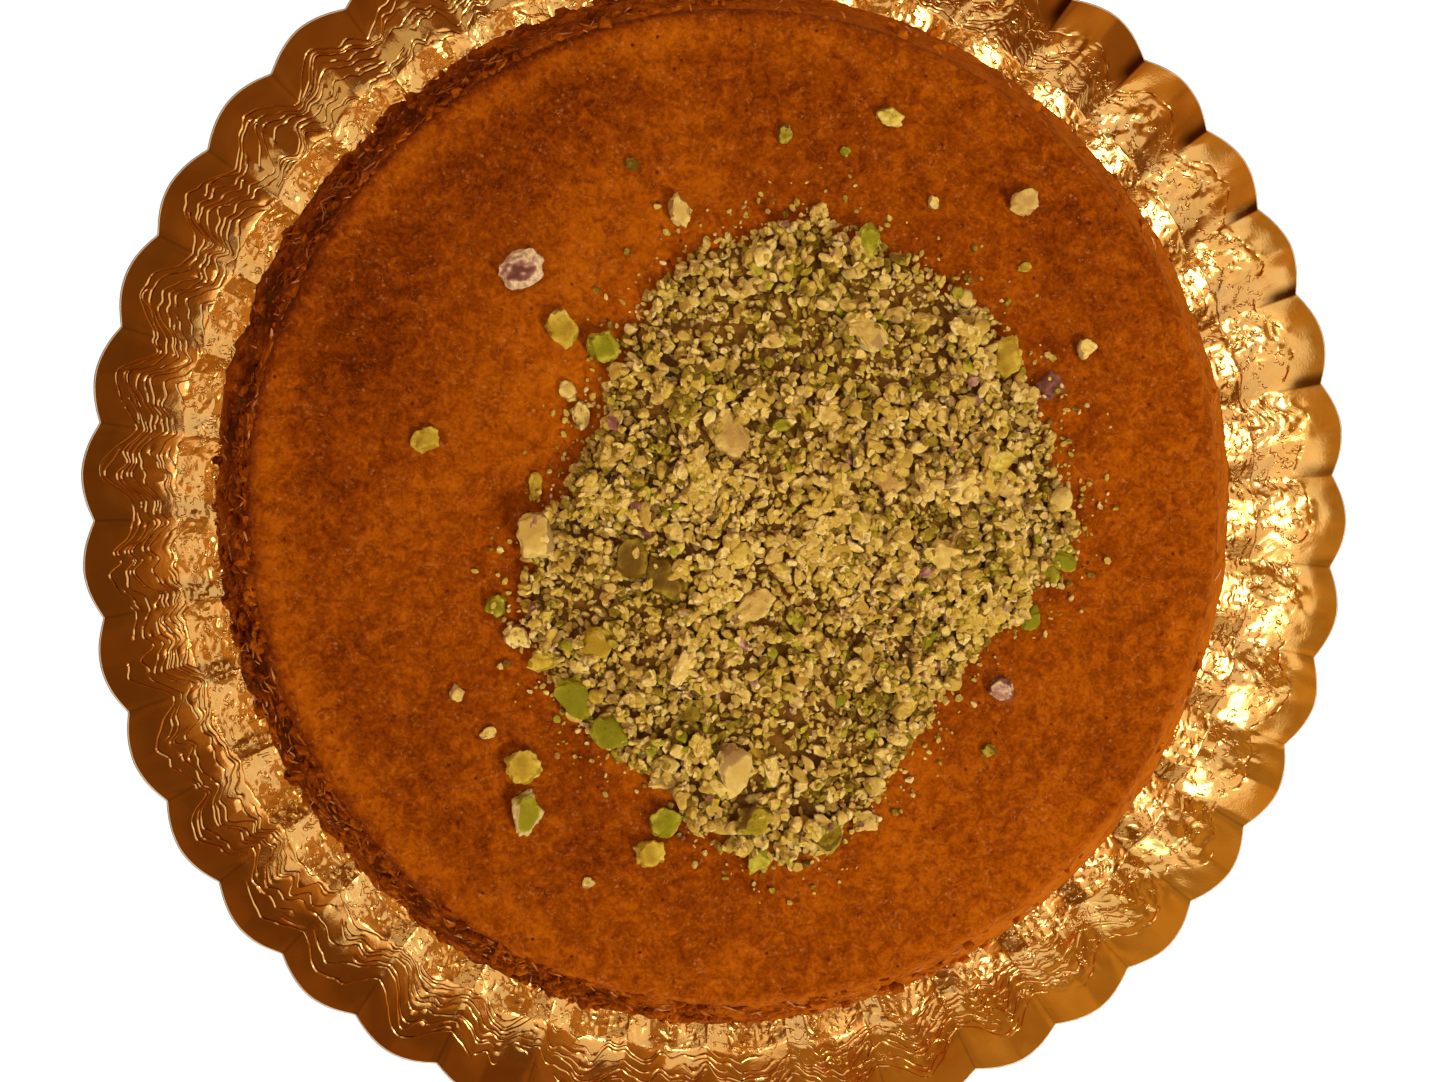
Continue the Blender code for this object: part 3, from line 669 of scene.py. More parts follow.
def make_tray():
    angle, on_crease = petal_columns()
    columns = len(angle)
    turn = angle + PETAL_PHASE
    surface = Surface("layer", "painted_fold_shade", "crackle")
    surface.add(np.array([(0, 0, BOARD)]), 0, 0, 0)
    rings = []

    def add_ring(radius, height, layer=0.0, painted_fold_shade=0.0, crackle=0.0):
        ring = np.stack((radius * np.cos(turn), radius * np.sin(turn), height + 0 * turn), -1)
        rings.append(surface.add(ring, layer, painted_fold_shade, crackle))
        if len(rings) > 1:
            surface.band(rings[-2], rings[-1])

    for radius in FLOOR_RINGS:
        add_ring(radius, BOARD)
    lip = lip_radius(angle)
    right = smooth_step(-0.1, 0.6, np.cos(turn))
    # Painted shade: a dark wedge just past each crease on the lip, strongest around WEDGES_TURN.
    wedges = smooth_step(0.5, 0.9, np.cos(turn - WEDGES_TURN))
    wedge = smooth_step(0.17, 0.04, petal_share(angle)) * wedges
    for across, line in embossed_rings(angle):
        way = across / REACH
        apart = 1 - (1 - 0.3 * right) * smooth_step(0.34, 0.44, way) * smooth_step(0.86, 0.76, way)
        groove = CREASE_GROOVE * on_crease * smooth_step(0.0, 0.1, way) * apart
        relief = foil_relief(across, angle) + line - groove
        # Painted shade and dark reflection along the creases of the lip, darker near the wedges.
        painted_fold_shade = on_crease * (0.30 + 0.35 * wedges) * smooth_step(0.68, 0.8, way)
        painted_fold_shade = np.maximum(painted_fold_shade, wedge * smooth_step(0.74, 0.88, way))
        smoother = 1 - 0.8 * right * smooth_step(0.8, 0.7, way)
        crackle = 1 - smooth_step(0.40, 0.48, way) * smoother
        radius = FLAT_RADIUS + way * (lip - FLAT_RADIUS)
        add_ring(radius, tray_height(way, angle) + relief * MM, 0.0, painted_fold_shade, crackle)
    foil_faces = len(rings) * columns
    slope = np.arctan(wall_slope(np.full(columns, 0.99), angle))
    out = BENT_BOARD * np.sin(slope)
    down = BENT_BOARD * np.cos(slope)
    height = tray_height(1, angle) + foil_relief(np.full(columns, REACH), angle) * MM
    for part, pale in EDGE_RINGS:
        bulge = 0.05 * BOARD * math.sin(math.pi * part)
        add_ring(lip + out * part + bulge, height - down * part + bulge, pale)
    for way in UNDERSIDE_RINGS:
        slope = np.arctan(wall_slope(np.full(columns, way), angle))
        radius = FLAT_RADIUS + way * (lip - FLAT_RADIUS)
        low = tray_height(way, angle) - BOARD * np.cos(slope)
        add_ring(radius + BOARD * np.sin(slope), np.maximum(low, 0))
    add_ring(FLOOR_RINGS[0], 0.0)
    middle = surface.add(np.zeros((1, 3)), 0, 0, 0)[0]
    ring_faces = len(surface.faces)
    top, bottom = rings[0], rings[-1]
    for column in range(columns):
        following = (column + 1) % columns
        surface.faces.append((0, top[column], top[following]))
        surface.faces.append((middle, bottom[following], bottom[column]))
    board = np.zeros(len(surface.faces), dtype=np.int32)
    board[foil_faces:ring_faces] = 1
    board[ring_faces + 1::2] = 1
    tray = surface.make("foil_tray")
    shade(tray, TRAY_SHARP_EDGE)
    tray.data.polygons.foreach_set("material_index", board)
    keep(tray, "tray", "gold_foil", foil_material(), paperboard_material())


# ---- Kunafa
GRID = 260                          # cells across the top
WALL_RINGS = 20
SHOULDER = ((0, 0.35, 0.7, 1.4, 2.5, 5, 8), (1.7, 1.1, 0.7, 0.35, 0.1, 0.02, 0))
# Where the top browned more or less: x, y, reach in millimetres, amount.
TOAST_PATCHES = (
    (-88, 50, 26, 0.20), (-93, 24, 20, 0.10), (-52, 92, 26, 0.17), (84, 66, 32, 0.06),
    (-72, -55, 34, 0.04), (-44, 38, 24, -0.24), (-66, 16, 26, -0.10), (-20, 70, 26, -0.14),
    (40, -90, 30, -0.03), (100, 0, 26, -0.02), (-96, -40, 20, 0.05), (22, 104, 18, 0.07),
    (60, -62, 28, -0.08),
)
# Unevenness of its brown and of its height: amount, size in millimetres, seed.
TOAST_WAVES = ((0.07, 19, 91), (0.07, 8, 92), (0.08, 3.4, 93), (0.07, 1.6, 94))
TOP_WAVES = ((0.22, 14, 101), (0.10, 5, 102), (0.075, 1.5, 103))


def shagginess(angle):
    """1 where the side is shaggy, on the left, and 0 where it is smooth."""
    return smooth_step(*SHAGGY_SPAN, -np.cos(angle - SHAGGY_TURN))


def crust_relief(angle, height):
    """How far the crust of the side stands out, as in the solid, with finer shreds on it."""
    shaggy = shagginess(angle)
    amount = CRUST_RELIEF_SMOOTH + shaggy * (CRUST_RELIEF_SHAGGY - CRUST_RELIEF_SMOOTH)
    crags = []
    for turn in angle:
        spot = Vector((math.cos(turn) * CRAGS, math.sin(turn) * CRAGS, height / CRAG_HEIGHT))
        crags.append(noise.noise(spot) + 0.6 * noise.noise(spot * 2.3))
    around = angle * KUNAFA_TOP_RADIUS / MM
    shreds = smooth_noise(around / 1.3, height / MM / 0.8, 0, 81) * 0.35 * MM
    tufts = smooth_noise(around / 3.4, height / MM / 2.2, 0, 82) * 0.7 * MM
    return amount * np.array(crags) + (0.35 + 0.65 * shaggy) * (shreds + tufts)


def circle_noise(angle, waves, height):
    """Noise round a circle at each of these angles."""
    spots = (Vector((math.cos(turn), math.sin(turn), 0)) * waves for turn in angle)
    return np.array([noise.noise(spot + Vector((0, 0, height))) for spot in spots])


def toast_amount(x, y, inward):
    """How brown the top is: 0 golden, 1 nearly black; all lengths in millimetres."""
    toast = np.full(x.shape, 0.50)
    for centre_x, centre_y, reach, amount in TOAST_PATCHES:
        toast += amount * np.exp(-(np.hypot(x - centre_x, y - centre_y) / reach) ** 2)
    # Lighter in a ring about 5 mm inside the edge, most on the left; on the left a little darker
    # further in and darker at the very edge, while on the right the very edge is lighter.
    left = smooth_step(-0.3, 0.6, -np.cos(np.arctan2(y, x) - math.radians(-25)))
    toast -= np.exp(-((inward - 5.5) / 3.6) ** 2) * (0.05 + 0.15 * left)
    toast += 0.06 * left * np.exp(-((inward - 17) / 7) ** 2)
    toast += (0.36 * left - 0.2) * smooth_step(2.6, 0.0, inward)
    for amount, size, seed in TOAST_WAVES:
        toast += amount * ripple(x, y, size, seed)
    return toast


def side_darkness(angle, part, left):
    """How dark the side's colour is, from its shoulder at part 0 to its foot at part 1: darker on the
    left, and there lighter towards the foot.
    """
    dark = 0.10 + 0.34 * left + 0.26 * left * smooth_step(0.0, 0.35, part)
    dark += 0.16 * smooth_noise(angle * 45, part * 6.0, 0, 112)
    dark += 0.35 * (smooth_noise(angle * 22, part * 3.0, 0, 113) - 0.1) * (0.4 + 0.6 * left)
    dark += 0.22 * left * (smooth_step(0.04, 0.2, part) - 1.5 * smooth_step(0.5, 0.85, part))
    return dark


def make_kunafa():
    disc_x, disc_y, faces, rim = disc_grid(GRID)
    angle = np.arctan2(disc_y, disc_x)
    edge = KUNAFA_TOP_RADIUS + EDGE_WAVE * circle_noise(angle, EDGE_WAVES, SEED)
    inward = (1 - np.hypot(disc_x, disc_y)) * edge / MM
    x = disc_x * edge
    y = disc_y * edge * KUNAFA_STRETCH_Y
    uneven = sum(height * ripple(x / MM, y / MM, size, seed) for height, size, seed in TOP_WAVES)
    uneven *= 0.3 + 0.7 * smooth_step(0.0, 3.0, inward)
    ragged = 0.22 * ripple(x / MM, y / MM, 2.0, 104) * smooth_step(7.0, 0.5, inward)
    top = KUNAFA_TOP + (uneven - 0.15 + ragged - np.interp(inward, *SHOULDER)) * MM
    surface = Surface("toast", "syrup")
    toast = toast_amount(x / MM, y / MM, inward)
    surface.add(np.stack((x, y, top), -1), toast, 0.0, faces=faces)
    angle = angle[rim]
    edge = edge[rim]
    left = shagginess(angle)
    previous = rim

    def add_ring(radius, height, *values):
        x = radius * np.cos(angle)
        y = radius * np.sin(angle) * KUNAFA_STRETCH_Y
        ring = surface.add(np.stack((x, y, height + 0 * angle), -1), *values)
        surface.band(previous, ring)
        return ring

    for number in range(1, WALL_RINGS + 1):
        part = number / WALL_RINGS
        height = KUNAFA_TOP - SHOULDER_DROP - part * SIDE_HEIGHT
        relief = crust_relief(angle, height - KUNAFA_FLOOR) * min(1.0, 2.5 * part)
        flare = KUNAFA_FLARE + (2.3 * left - 0.8) * MM
        crumble = 0.35 * MM * smooth_noise(angle * 80, part * 9.0, 0, 111)
        syrup = 0.02 + 0.05 * left * smooth_step(0.05, 0.4, part)
        radius = edge + part * flare + relief
        previous = add_ring(radius, height + crumble, side_darkness(angle, part, left), syrup)
    under = KUNAFA_TOP_RADIUS + KUNAFA_FLARE - FOOT_UNDERCUT
    for radius in (under, under * 0.5):
        previous = add_ring(radius, KUNAFA_FLOOR, 0.5, 0.0)
    middle = surface.add(np.array([(0, 0, KUNAFA_FLOOR)]), 0.5, 0.0)[0]
    surface.faces += [(one, middle, other) for one, other in zip(previous, np.roll(previous, -1))]
    cake = surface.make("kunafa_cake", KUNAFA_CENTRE)
    cake.data.shade_smooth()
    crust = crust_material()
    keep(cake, "kunafa", "kunafa_crust", crust)
    return crust


# Crumbs and shreds on the side: how many, least and greatest length in mm, breadth to length,
# least toast, range of toast, and how far they stand proud.
# The thin shreds reach low toast, which the crust colours pale, partly as a painted sheen.
SHRED_LAYERS = (
    (900, 1.6, 4.2, 0.72, 0.35, 0.4, 0), (800, 1.8, 4.8, 0.14, -0.7, 1.0, 0.4 * MM),
)
SHRED_SHAPES = 30
SHRED_SHARP_EDGE = 40               # degrees


def make_shreds(draw, crust):
    """Crumbs and short shreds of pastry that stick out of the side, most of them on the left."""
    surface = Surface("toast", "syrup")
    lie = Matrix.Rotation(math.atan2(KUNAFA_FLARE, SIDE_HEIGHT) - math.pi / 2, 3, "X")
    for wanted, least, greatest, breadth, least_toast, toast_range, proud in SHRED_LAYERS:
        shapes = [lump_shape(draw, 1, 4) for _ in range(SHRED_SHAPES)]
        placed = 0
        while placed < wanted:
            angle = draw.uniform(0, TAU)
            shaggy = shagginess(angle)
            if draw.uniform() > 0.06 + 0.94 * shaggy:
                continue
            placed += 1
            part = draw.uniform(-0.04, 1.0)
            length = (least + (greatest - least) * draw.uniform() ** 2) * MM
            width = length * breadth * draw.uniform(0.7, 1.2)
            flare = KUNAFA_FLARE + (2.0 * shaggy - 0.8) * MM
            out = draw.uniform(-0.3, 0.5) * width + proud
            radius = KUNAFA_TOP_RADIUS + max(0, part) * flare + out
            x = radius * math.cos(angle)
            y = radius * math.sin(angle) * KUNAFA_STRETCH_Y
            spot = Vector((x, y, KUNAFA_TOP - SHOULDER_DROP - part * SIDE_HEIGHT))
            turn = Matrix.Rotation(angle + math.pi / 2, 3, "Z") @ lie
            turn = turn @ Matrix.Rotation(draw.normal() * 0.7, 3, "Z")
            turn = turn @ Matrix.Rotation(draw.normal() * 0.35, 3, "Y")
            shape, faces, _ = shapes[int(draw.integers(len(shapes)))]
            bent = shape * (length, width, width * 0.8)
            bent[:, 2] += draw.uniform(-0.6, 0.6) * bent[:, 0] ** 2 / length
            points = bent @ np.array(turn).T + np.array(spot + KUNAFA_CENTRE)
            # Shreds on the smooth right side are lighter.
            toast = least_toast + draw.uniform(0, toast_range) - 0.4 * (1 - shaggy)
            surface.add(points, toast, 0.0, faces=faces)
    shreds = surface.make("crust_shreds")
    shade(shreds, SHRED_SHARP_EDGE)
    keep(shreds, "kunafa", "kunafa_crust", crust)


# ---- Chopped nuts
FINE_DETAIL = 3                     # shapes with this much detail or more are rough as well
NUT_ROUGHNESS = ((2.6, 0.16), (5.5, 0.08), (12, 0.035))
BIT_SHARP_EDGE = 38                 # degrees
NUT_SHARP_EDGE = 55                 # degrees


def lump_shape(draw, detail, sides):
    """A unit lump cut round by a knife: its points, its faces and where the old outside shows."""
    work = bmesh.new()
    bmesh.ops.create_icosphere(work, subdivisions=detail, radius=1)
    points = np.array([vertex.co[:] for vertex in work.verts])
    faces = np.array([[vertex.index for vertex in face.verts] for face in work.faces])
    work.free()
    points *= 1 + draw.uniform(-0.12, 0.12, (len(points), 1)) / (1 + detail)
    shift = draw.uniform(0, 99)

    def swelling(scale, seed):
        x, y, z = (points * scale).T
        return smooth_noise(x + shift, y, z, seed)[:, None]

    points *= 1 + 0.25 * swelling(1.4, 5)
    rind = np.ones(len(points))
    depth = (0.68, 0.92) if detail >= FINE_DETAIL else (0.58, 0.86)
    first = draw.uniform(0, TAU)
    cuts = []
    for side in range(sides):
        about = first + side * TAU / sides + draw.uniform(-0.35, 0.35)
        normal = (math.cos(about), math.sin(about), draw.uniform(-0.35, 0.45))
        cuts.append((normal, draw.uniform(*depth)))
    for _ in range(2):
        normal = (draw.uniform(-0.6, 0.6), draw.uniform(-0.6, 0.6), 1.0)
        cuts.append((normal, draw.uniform(0.5, 0.75)))
    for normal, distance in cuts:
        normal = np.array(normal) / np.linalg.norm(normal)
        over = np.maximum(0, points @ normal - distance)
        points -= 0.95 * over[:, None] * normal
        rind[over > 0] = 0
    if detail >= FINE_DETAIL:
        points *= 1 + sum(amount * swelling(scale, 6) for scale, amount in NUT_ROUGHNESS)
    low = points.min(0)
    return (points - low) / (points.max(0) - low) - 0.5, faces, rind


def turning(turn, tilt_x=0.0, tilt_y=0.0):
    """A rotation matrix: tilts first, then the turn about Z."""
    angles = zip((turn, tilt_x, tilt_y), "ZXY")
    about_z, about_x, about_y = (Matrix.Rotation(angle, 3, axis) for angle, axis in angles)
    return np.array(about_z @ about_x @ about_y)


def off_centre(points):
    """0 on the axis of a unit lump, 1 at its side."""
    return 2 * np.hypot(points[:, 0], points[:, 1])


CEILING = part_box("pistachio_heap")[1][2] - 0.15 * MM


class Pile:
    """Bits of nut by kind, each resting on a map of the heights below it."""
    STEP = 0.25 * MM

    def __init__(self, low, high, ground):
        self.low = np.array(low)
        size = np.ceil((np.array(high) - self.low) / self.STEP).astype(int)
        x = self.low[0] + np.arange(size[0]) * self.STEP
        y = self.low[1] + np.arange(size[1]) * self.STEP
        self.x, self.y = np.meshgrid(x, y, indexing="ij")
        self.height = ground(self.x, self.y)
        self.kinds = {}

    def window(self, x, y, reach):
        low = np.floor((np.array((x, y)) - reach - self.low) / self.STEP).astype(int)
        high = np.ceil((np.array((x, y)) + reach - self.low) / self.STEP).astype(int) + 1
        return tuple(slice(max(0, first), last) for first, last in zip(low, high))

    def settle(self, x, y, size, turn, sunk):
        """Height of the middle of a lump that rests here; the map rises by it."""
        length, width, height = size
        window = self.window(x, y, length / 2)
        dx = self.x[window] - x
        dy = self.y[window] - y
        along = (dx * math.cos(turn) + dy * math.sin(turn)) / (length / 2)
        aside = (dy * math.cos(turn) - dx * math.sin(turn)) / (width / 2)
        far = along ** 2 + aside ** 2
        under = far < 1
        if not under.any():
            under = far <= far.min()
        here = self.height[window]
        ground = np.quantile(here[under], 0.65)
        middle = min(ground + (0.5 - sunk) * height, CEILING - 0.5 * height)
        dome = middle + 0.5 * height * np.sqrt(np.maximum(0, 1 - 0.8 * far))
        here[under] = np.maximum(here[under], dome[under])
        return middle

    def drop(self, draw, kind, shape, x, y, size, turn, sunk, tilt):
        """Lay a lump of this size here, sunk by a share of its height and tilted at random."""
        points, faces, rind = shape
        matrix = turning(turn, draw.normal() * tilt, draw.normal() * tilt)
        turned = (points * np.array(size)) @ matrix.T
        middle = min(self.settle(x, y, size, turn, sunk), CEILING - turned[:, 2].max())
        tint = draw.uniform()
        uneven = smooth_noise(*(points * 3.2 + (40 * tint, 0, 0)).T, 142)
        uneven += smooth_step(0.5, 1.0, off_centre(points)) - 0.4
        surface = self.kinds.setdefault(kind, Surface("rind", "tint"))
        tints = np.clip(tint + 0.45 * uneven, 0, 1)
        surface.add(turned + np.array((x, y, middle)), rind, tints, faces=faces)

    def drop_listed(self, draw, pieces, sides, sunk, tilt):
        """Lay listed pieces where their list says; sides() is the number of sides of the next."""
        for x, y, length, width, turn, kind in pieces:
            shape = lump_shape(draw, 4, sides())
            size = (length * MM, width * MM, width * draw.uniform(0.5, 0.65) * MM)
            self.drop(draw, kind, shape, x * MM, y * MM, size, math.radians(turn), sunk, tilt)

    def make(self, prefix, node):
        for kind, surface in sorted(self.kinds.items()):
            piece = surface.make(f"{prefix}_{kind}")
            shade(piece, BIT_SHARP_EDGE)
            keep(piece, node, NUT_KINDS[kind][0], MATERIALS[kind])


MATERIALS = {kind: nut_material(kind) for kind in NUT_KINDS}


def heap_reach(angle):
    """Distance from the heap's centre to its outline, as in the solid."""
    place = (angle / TAU % 1) * len(HEAP_REACH)
    low = np.floor(place).astype(int) % len(HEAP_REACH)
    known = np.array(HEAP_REACH, dtype=float)
    blend = smooth_step(0, 1, place - np.floor(place))
    reach = known[low] + blend * (known[(low + 1) % len(HEAP_REACH)] - known[low])
    return reach * MM + OUTLINE_WAVE * circle_noise(angle, OUTLINE_WAVES, 0)


CORE_GRID = 110                     # cells across the core
REACH_STEPS = 1440
REACH_TABLE = heap_reach(np.arange(REACH_STEPS) / REACH_STEPS * TAU)


def reach_at(angle):
    """The same distance from a table, which is quicker."""
    step = np.asarray(angle / TAU % 1 * REACH_STEPS).astype(int)
    return REACH_TABLE[step % REACH_STEPS]


def core_share(x, y):
    """0 at the heap's centre, 1 at the edge of its core."""
    from_x = x - HEAP_CENTRE.x
    from_y = y - HEAP_CENTRE.y
    return np.hypot(from_x, from_y) / (reach_at(np.arctan2(from_y, from_x)) - CORE_INSET)


def core_height(x, y):
    """Height of the heap's core over its floor; the bits lie on it."""
    share = np.minimum(1, core_share(x, y))
    lump = 0.5 * HEAP_LUMPS * ripple(x, y, LUMP_SIZE, 121) * (1 - share ** 3)
    return np.maximum(0.15 * MM, (HEAP_HEIGHT - 2.0 * MM) * (1 - share ** 2.4) + lump)


def pile_ground(x, y):
    inside = core_share(x, y) < 1
    return np.where(inside, HEAP_FLOOR + core_height(x, y), KUNAFA_TOP - 0.1 * MM)


def make_heap_core():
    across_x, across_y, faces, rim = disc_grid(CORE_GRID)
    reach = heap_reach(np.arctan2(across_y, across_x)) - CORE_INSET
    x = HEAP_CENTRE.x + across_x * reach
    y = HEAP_CENTRE.y + across_y * reach
    bumps = 0.35 * MM * ripple(x / MM, y / MM, 1.1, 131)
    top = HEAP_FLOOR + np.maximum(0.05 * MM, core_height(x, y) + bumps)
    foot = len(x) + np.arange(len(rim))
    side = np.stack((rim, foot, np.roll(foot, -1), np.roll(rim, -1)), -1)
    under = np.stack((x[rim], y[rim], 0 * x[rim] + HEAP_FLOOR), -1)
    points = np.concatenate((np.stack((x, y, top), -1), under))
    tint = 0.3 + 0.3 * ripple(points[:, 0] / MM, points[:, 1] / MM, 0.9, 132)
    faces = [*faces, *side, foot[::-1]]
    # Painted shade: the core is dark brown, so that the gaps between the bits read as shade.
    core = new_object("heap_core", points, faces, [("rind", 0 * tint + 0.35), ("tint", tint)])
    core.data.shade_smooth()
    keep(core, "pistachio_heap", "pistachio", MATERIALS["core"])


SMALL_KINDS = {"cream": 0.37, "pale": 0.42, "olive": 0.17, "green": 0.02, "yellow": 0.01, "skin": 0.01}
MIDDLE_KINDS = {"cream": 0.42, "pale": 0.38, "olive": 0.12, "green": 0.03, "yellow": 0.03, "skin": 0.02}
# How bits lie: power that favours short ones, how much short ones gather, least and greatest
# width to length, least and greatest height to width, share of the height that sinks in, tilt.
CHIPS = (1.6, 0.35, (0.36, 0.92), (0.6, 1.0), 0.12, 0.35)
CHUNKS = (1.0, 0.0, (0.5, 0.9), (0.45, 0.7), 0.4, 0.22)
# Layers of the heap from below: how many, least and greatest length in mm, detail, kinds, lie.
LAYERS = (
    (3600, 1.7, 3.3, 0, SMALL_KINDS, CHIPS),
    (420, 2.4, 4.2, 2, MIDDLE_KINDS, CHIPS),
    (3400, 1.5, 3.1, 0, SMALL_KINDS, CHIPS),
    (420, 2.2, 4.0, 2, MIDDLE_KINDS, CHIPS),
    (26, 5.0, 7.0, 2, MIDDLE_KINDS, CHUNKS),
    (80, 4.0, 5.2, 2, MIDDLE_KINDS, CHUNKS),
    (190, 3.0, 4.2, 2, MIDDLE_KINDS, CHUNKS),
    (1700, 1.1, 2.3, 0, SMALL_KINDS, CHIPS),
)
SHAPES_BY_DETAIL = {0: 40, 2: 60}
PATCH_SIZE = 9.0 * MM
PILE_MARGIN = 4 * MM
DUST_BITS, DUST_SHAPES = 620, 30
DUST_SPREAD = 5.5                   # millimetres out from the heap


def patch_at(x, y, seed):
    """Noise from -1 to 1 that gathers bits of one sort in patches."""
    return float(ripple(x, y, PATCH_SIZE, seed))


def pick(draw, shares):
    """One name, drawn by its share."""
    names = list(shares)
    weights = np.array([shares[name] for name in names], dtype=float)
    return names[int(draw.choice(len(names), p=weights / weights.sum()))]


def pick_at(draw, shares, x, y):
    """A kind of nut by its share; the olive ones gather in patches."""
    gathered = shares["olive"] * (0.5 + 3 * smooth_step(0.1, 0.5, patch_at(x, y, 123)))
    return pick(draw, dict(shares, olive=gathered))


def from_heap(angle, radius):
    """The x and y at this distance from the heap's centre."""
    return HEAP_CENTRE.x + radius * math.cos(angle), HEAP_CENTRE.y + radius * math.sin(angle)


def heap_spot(draw):
    angle = draw.uniform(0, TAU)
    draw.normal()                   # unused; it keeps the order of the draws
    return from_heap(angle, reach_at(angle) * math.sqrt(draw.uniform()))


def make_heap(draw):
    make_heap_core()
    shapes = {}
    for detail, count in SHAPES_BY_DETAIL.items():
        shapes[detail] = [lump_shape(draw, detail, 3 + number % 3) for number in range(count)]
    low, high = (np.array(corner[:2]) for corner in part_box("pistachio_heap"))
    pile = Pile(low - PILE_MARGIN, high + PILE_MARGIN, pile_ground)
    for count, least, greatest, detail, kinds, lie in LAYERS:
        power, gathering, widths, heights, sunk, tilt = lie
        for _ in range(count):
            x, y = heap_spot(draw)
            length = (least + (greatest - least) * draw.uniform() ** power) * MM
            length *= 1 - gathering * patch_at(x, y, 124)
            width = length * draw.uniform(*widths)
            size = (length, width, width * draw.uniform(*heights))
            shape = shapes[detail][int(draw.integers(len(shapes[detail])))]
            kind = pick_at(draw, kinds, x, y)
            pile.drop(draw, kind, shape, x, y, size, draw.uniform(0, TAU), sunk, tilt)
    pile.drop_listed(draw, HEAP_PIECES, lambda: 4 + int(draw.integers(2)), 0.3, 0.12)
    pile.make("heap", "pistachio_heap")


def round_off(points):
    """Take the corners off a unit lump, unevenly."""
    far = np.hypot(points[:, 0], points[:, 1])
    limit = 0.47 + 0.07 * smooth_noise(points[:, 0] * 5, points[:, 1] * 5, 0, 145)
    points[:, :2] *= (limit / np.maximum(far, limit))[:, None]
    points[:, :2] /= np.ptp(points[:, :2], axis=0)


def make_nuts(draw):
    for node, x, y, length, width, height, turn, kind in NUTS:
        points, faces, rind = lump_shape(draw, 5, 4)
        tint = 0.3 + 0.5 * smooth_noise(*(points * 3).T, 141)
        tint += 0.5 * smooth_step(0.5, 1.0, off_centre(points))
        if kind == "margin":
            near_side = 2 * np.abs(points[:, :2]).max(axis=1)
            tint = 0.25 + 0.6 * (tint - 0.5) + 0.9 * smooth_step(0.55, 0.95, near_side)
        if kind == "skin":
            round_off(points)
            edge = off_centre(points + (0.08, -0.04, 0))
            edge += 0.22 * smooth_noise(points[:, 0] * 5, points[:, 1] * 5, 0, 143)
            spots = smooth_noise(*(points * 9).T, 144)
            tint = 0.80 + 0.9 * (tint - 0.5) + 0.75 * spots + smooth_step(0.66, 1.0, edge)
            rind = 0 * rind
        spot = np.array((x, y, height / 2)) * MM + (0, 0, KUNAFA_TOP + GAP / 2)
        places = (points * (length, width, height) * MM) @ turning(math.radians(turn)).T + spot
        piece = new_object(node + "_cut", places, faces, [("rind", rind), ("tint", tint)])
        shade(piece, NUT_SHARP_EDGE)
        keep(piece, node, NUT_KINDS[kind][0], MATERIALS[kind])


def make_crumbs(draw):
    low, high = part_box("kunafa")
    pile = Pile(low[:2], high[:2], lambda x, y: 0 * x + KUNAFA_TOP - 0.15 * MM)
    pile.drop_listed(draw, CRUMBS, lambda: 3, 0.15, 0.0)
    small = [lump_shape(draw, 0, 3) for _ in range(DUST_SHAPES)]
    for _ in range(DUST_BITS):
        angle = draw.uniform(0, TAU)
        beyond = (abs(draw.normal()) * DUST_SPREAD - 1.0) * MM
        x, y = from_heap(angle, reach_at(angle) + beyond)
        length = (0.6 + 1.5 * draw.uniform() ** 2) * MM
        width = length * draw.uniform(0.5, 0.95)
        kind = pick(draw, SMALL_KINDS)
        shape = small[int(draw.integers(len(small)))]
        size = (length, width, width * 0.7)
        pile.drop(draw, kind, shape, x, y, size, draw.uniform(0, TAU), 0.1, 0.3)
    pile.make("loose", "kunafa")


# ---- Stage, light and camera
FLOOR_REACH = 30.0
GLOW = (12, 6)                      # degrees from +Z towards +X and +Y
GLOW_EDGE, GLOW_CORE = 36, 12       # degrees from there to where it ends, and is full


def make_floor():
    points = FLOOR_REACH * np.array(((-1, -1, 0), (1, -1, 0), (1, 1, 0), (-1, 1, 0)), dtype=float)
    points[:, 2] = -0.05 * MM
    floor = new_object("floor", points, [(0, 1, 2, 3)])
    glow = {"Emission_Strength": 0.92, "Emission_Color": (0.93, 0.97, 1.0, 1)}
    nodes = Material("pale_floor", Specular_IOR_Level=0.0, **glow)
    greys = ((0.3, (0.30, 0.33, 0.35, 1)), (0.7, (0.32, 0.35, 0.37, 1)))
    roughness = nodes.vary(nodes.noise(0.1), 0.85, 0.95)
    floor.data.materials.append(nodes.finish(nodes.ramp(nodes.noise(0.4), *greys), roughness))


def towards(degrees):
    """A direction given in degrees from +Z towards +X and +Y."""
    return Vector((*(math.tan(math.radians(angle)) for angle in degrees), 1)).normalized()


def stand(name, data, place, axes):
    """An object with this data at a place, with its X, Y and Z along these axes."""
    item = bpy.data.objects.new(name, data)
    item.matrix_world = Matrix.Translation(place) @ Matrix(axes).transposed().to_4x4()
    bpy.context.scene.collection.objects.link(item)
    return item


def softbox(name, direction, distance, size, radiance, colour, target=(0, 0), spread=180):
    """A panel this far along a direction, which faces a spot of the floor.

    A spread below 180 degrees narrows its beam; what is seen from the spot stays as bright.
    """
    place = towards(direction) * distance
    facing = (place - Vector((*target, 0))).normalized()
    side = Vector((0, 1, 0)).cross(facing).normalized()
    half = math.radians(spread / 2)
    focus = 1 if spread == 180 else math.tan(half) / (math.tan(half) - half)
    light = bpy.data.lights.new(name, "AREA")
    light.shape = "RECTANGLE"
    light.size, light.size_y = size
    light.spread = 2 * half
    light.energy = radiance * math.pi * size[0] * size[1] / focus
    light.color = colour
    return stand(name, light, place, (side, facing.cross(side), facing))


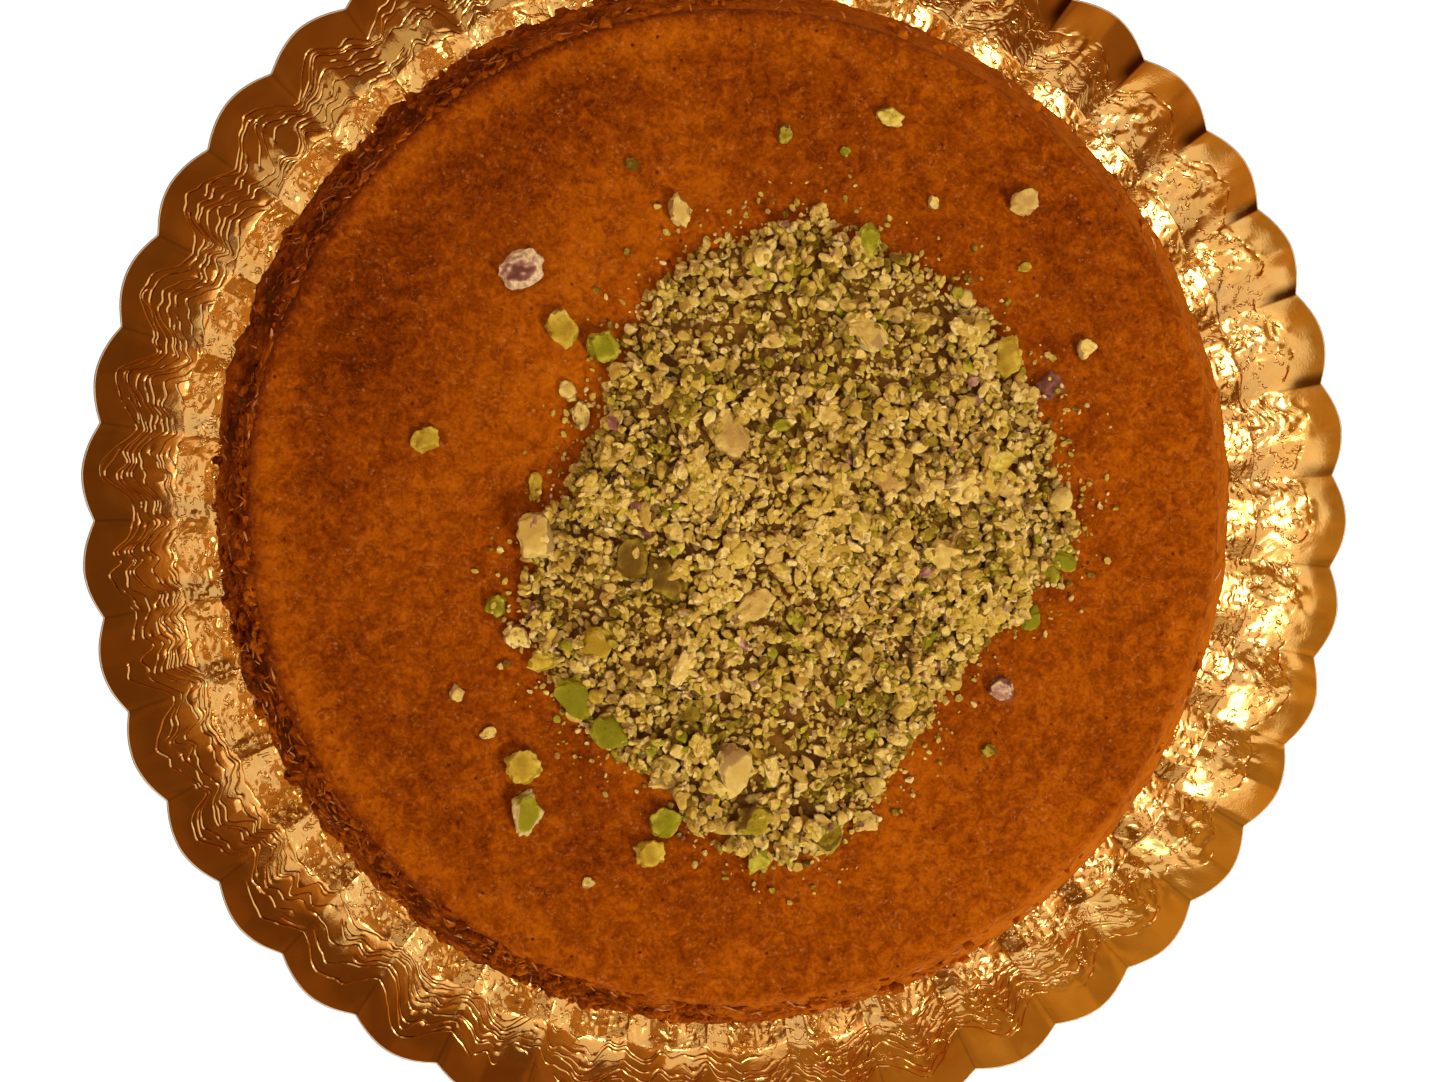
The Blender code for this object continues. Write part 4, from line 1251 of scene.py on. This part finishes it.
def make_lights():
    beam = {"target": (0.25, -0.02), "spread": 20}
    softbox("softbox", (-28, -7), 2.2, (1.56, 2.1), 0.70, (0.82, 0.93, 1.2))
    softbox("softbox_core", (-31, -2), 2.1, (0.36, 1.0), 12.0, (0.92, 1.0, 1.2), **beam)
    softbox("fill", (19, 4), 2.2, (0.86, 2.1), 0.68, (0.82, 0.90, 1.1))
    softbox("fill_core", (17, 3), 2.1, (0.56, 1.1), 13.0, (0.92, 1.0, 1.2), **beam)
    softbox("low_fill", (20, -34), 2.2, (0.8, 0.5), 0.5, (0.92, 0.95, 1.0))
    softbox("between", (-1, 17), 2.1, (0.56, 0.5), 0.85, (1.05, 0.92, 1.0), (0.09, 0.09), 14)
    key = softbox("key", (35, -38), 2.4, (0.45, 0.45), 62.0, (0.98, 1.0, 1.02))
    key.visible_glossy = False


def make_room():
    """A warm room for the foil to mirror: lighter on the left, with a soft glow overhead."""
    world = bpy.data.worlds.new("room")
    bpy.context.scene.world = world
    world.use_nodes = True
    nodes = Nodes(world.node_tree, "Generated")
    colour = nodes.ramp(
        nodes.spread(nodes.along((0.97, -0.26, 0)), -1, 1),
        (0.0, (0.48, 0.26, 0.065, 1)),
        (0.2, (0.45, 0.24, 0.06, 1)),
        (0.39, (0.27, 0.11, 0.028, 1)),
        (0.61, (0.205, 0.072, 0.016, 1)),
        (1.0, (0.175, 0.068, 0.017, 1)),
    )
    edge, core = (math.cos(math.radians(angle)) for angle in (GLOW_EDGE, GLOW_CORE))
    near = nodes.spread(nodes.along(towards(GLOW)), edge, core, way="SMOOTHSTEP")
    colour = nodes.mix(near, colour, (0.50, 0.23, 0.06, 1))
    clouds = nodes.spread(nodes.noise(1 / 3, 2.0, 0.5), 0.35, 0.65, 0.72, 1.35)
    nodes.fill(nodes.tree.nodes["Background"], Color=colour, Strength=clouds)
    bpy.context.scene.view_settings.view_transform = "Standard"


def make_camera():
    data = bpy.data.cameras.new("camera")
    data.sensor_width = SENSOR_WIDTH
    data.lens = FOCAL_PIXELS / PHOTO_WIDTH * SENSOR_WIDTH
    ahead = (CAMERA_AIM - CAMERA_PLACE).normalized()
    right = ahead.cross(Vector((0, 1, 0))).normalized()
    axes = (right, right.cross(ahead), -ahead)
    bpy.context.scene.camera = stand("camera", data, CAMERA_PLACE, axes)


make_camera()
make_lights()
make_room()
make_floor()
make_tray()
make_shreds(np.random.default_rng(SEED + 3), make_kunafa())
make_heap(np.random.default_rng(SEED))
make_nuts(np.random.default_rng(SEED + 1))
make_crumbs(np.random.default_rng(SEED + 2))
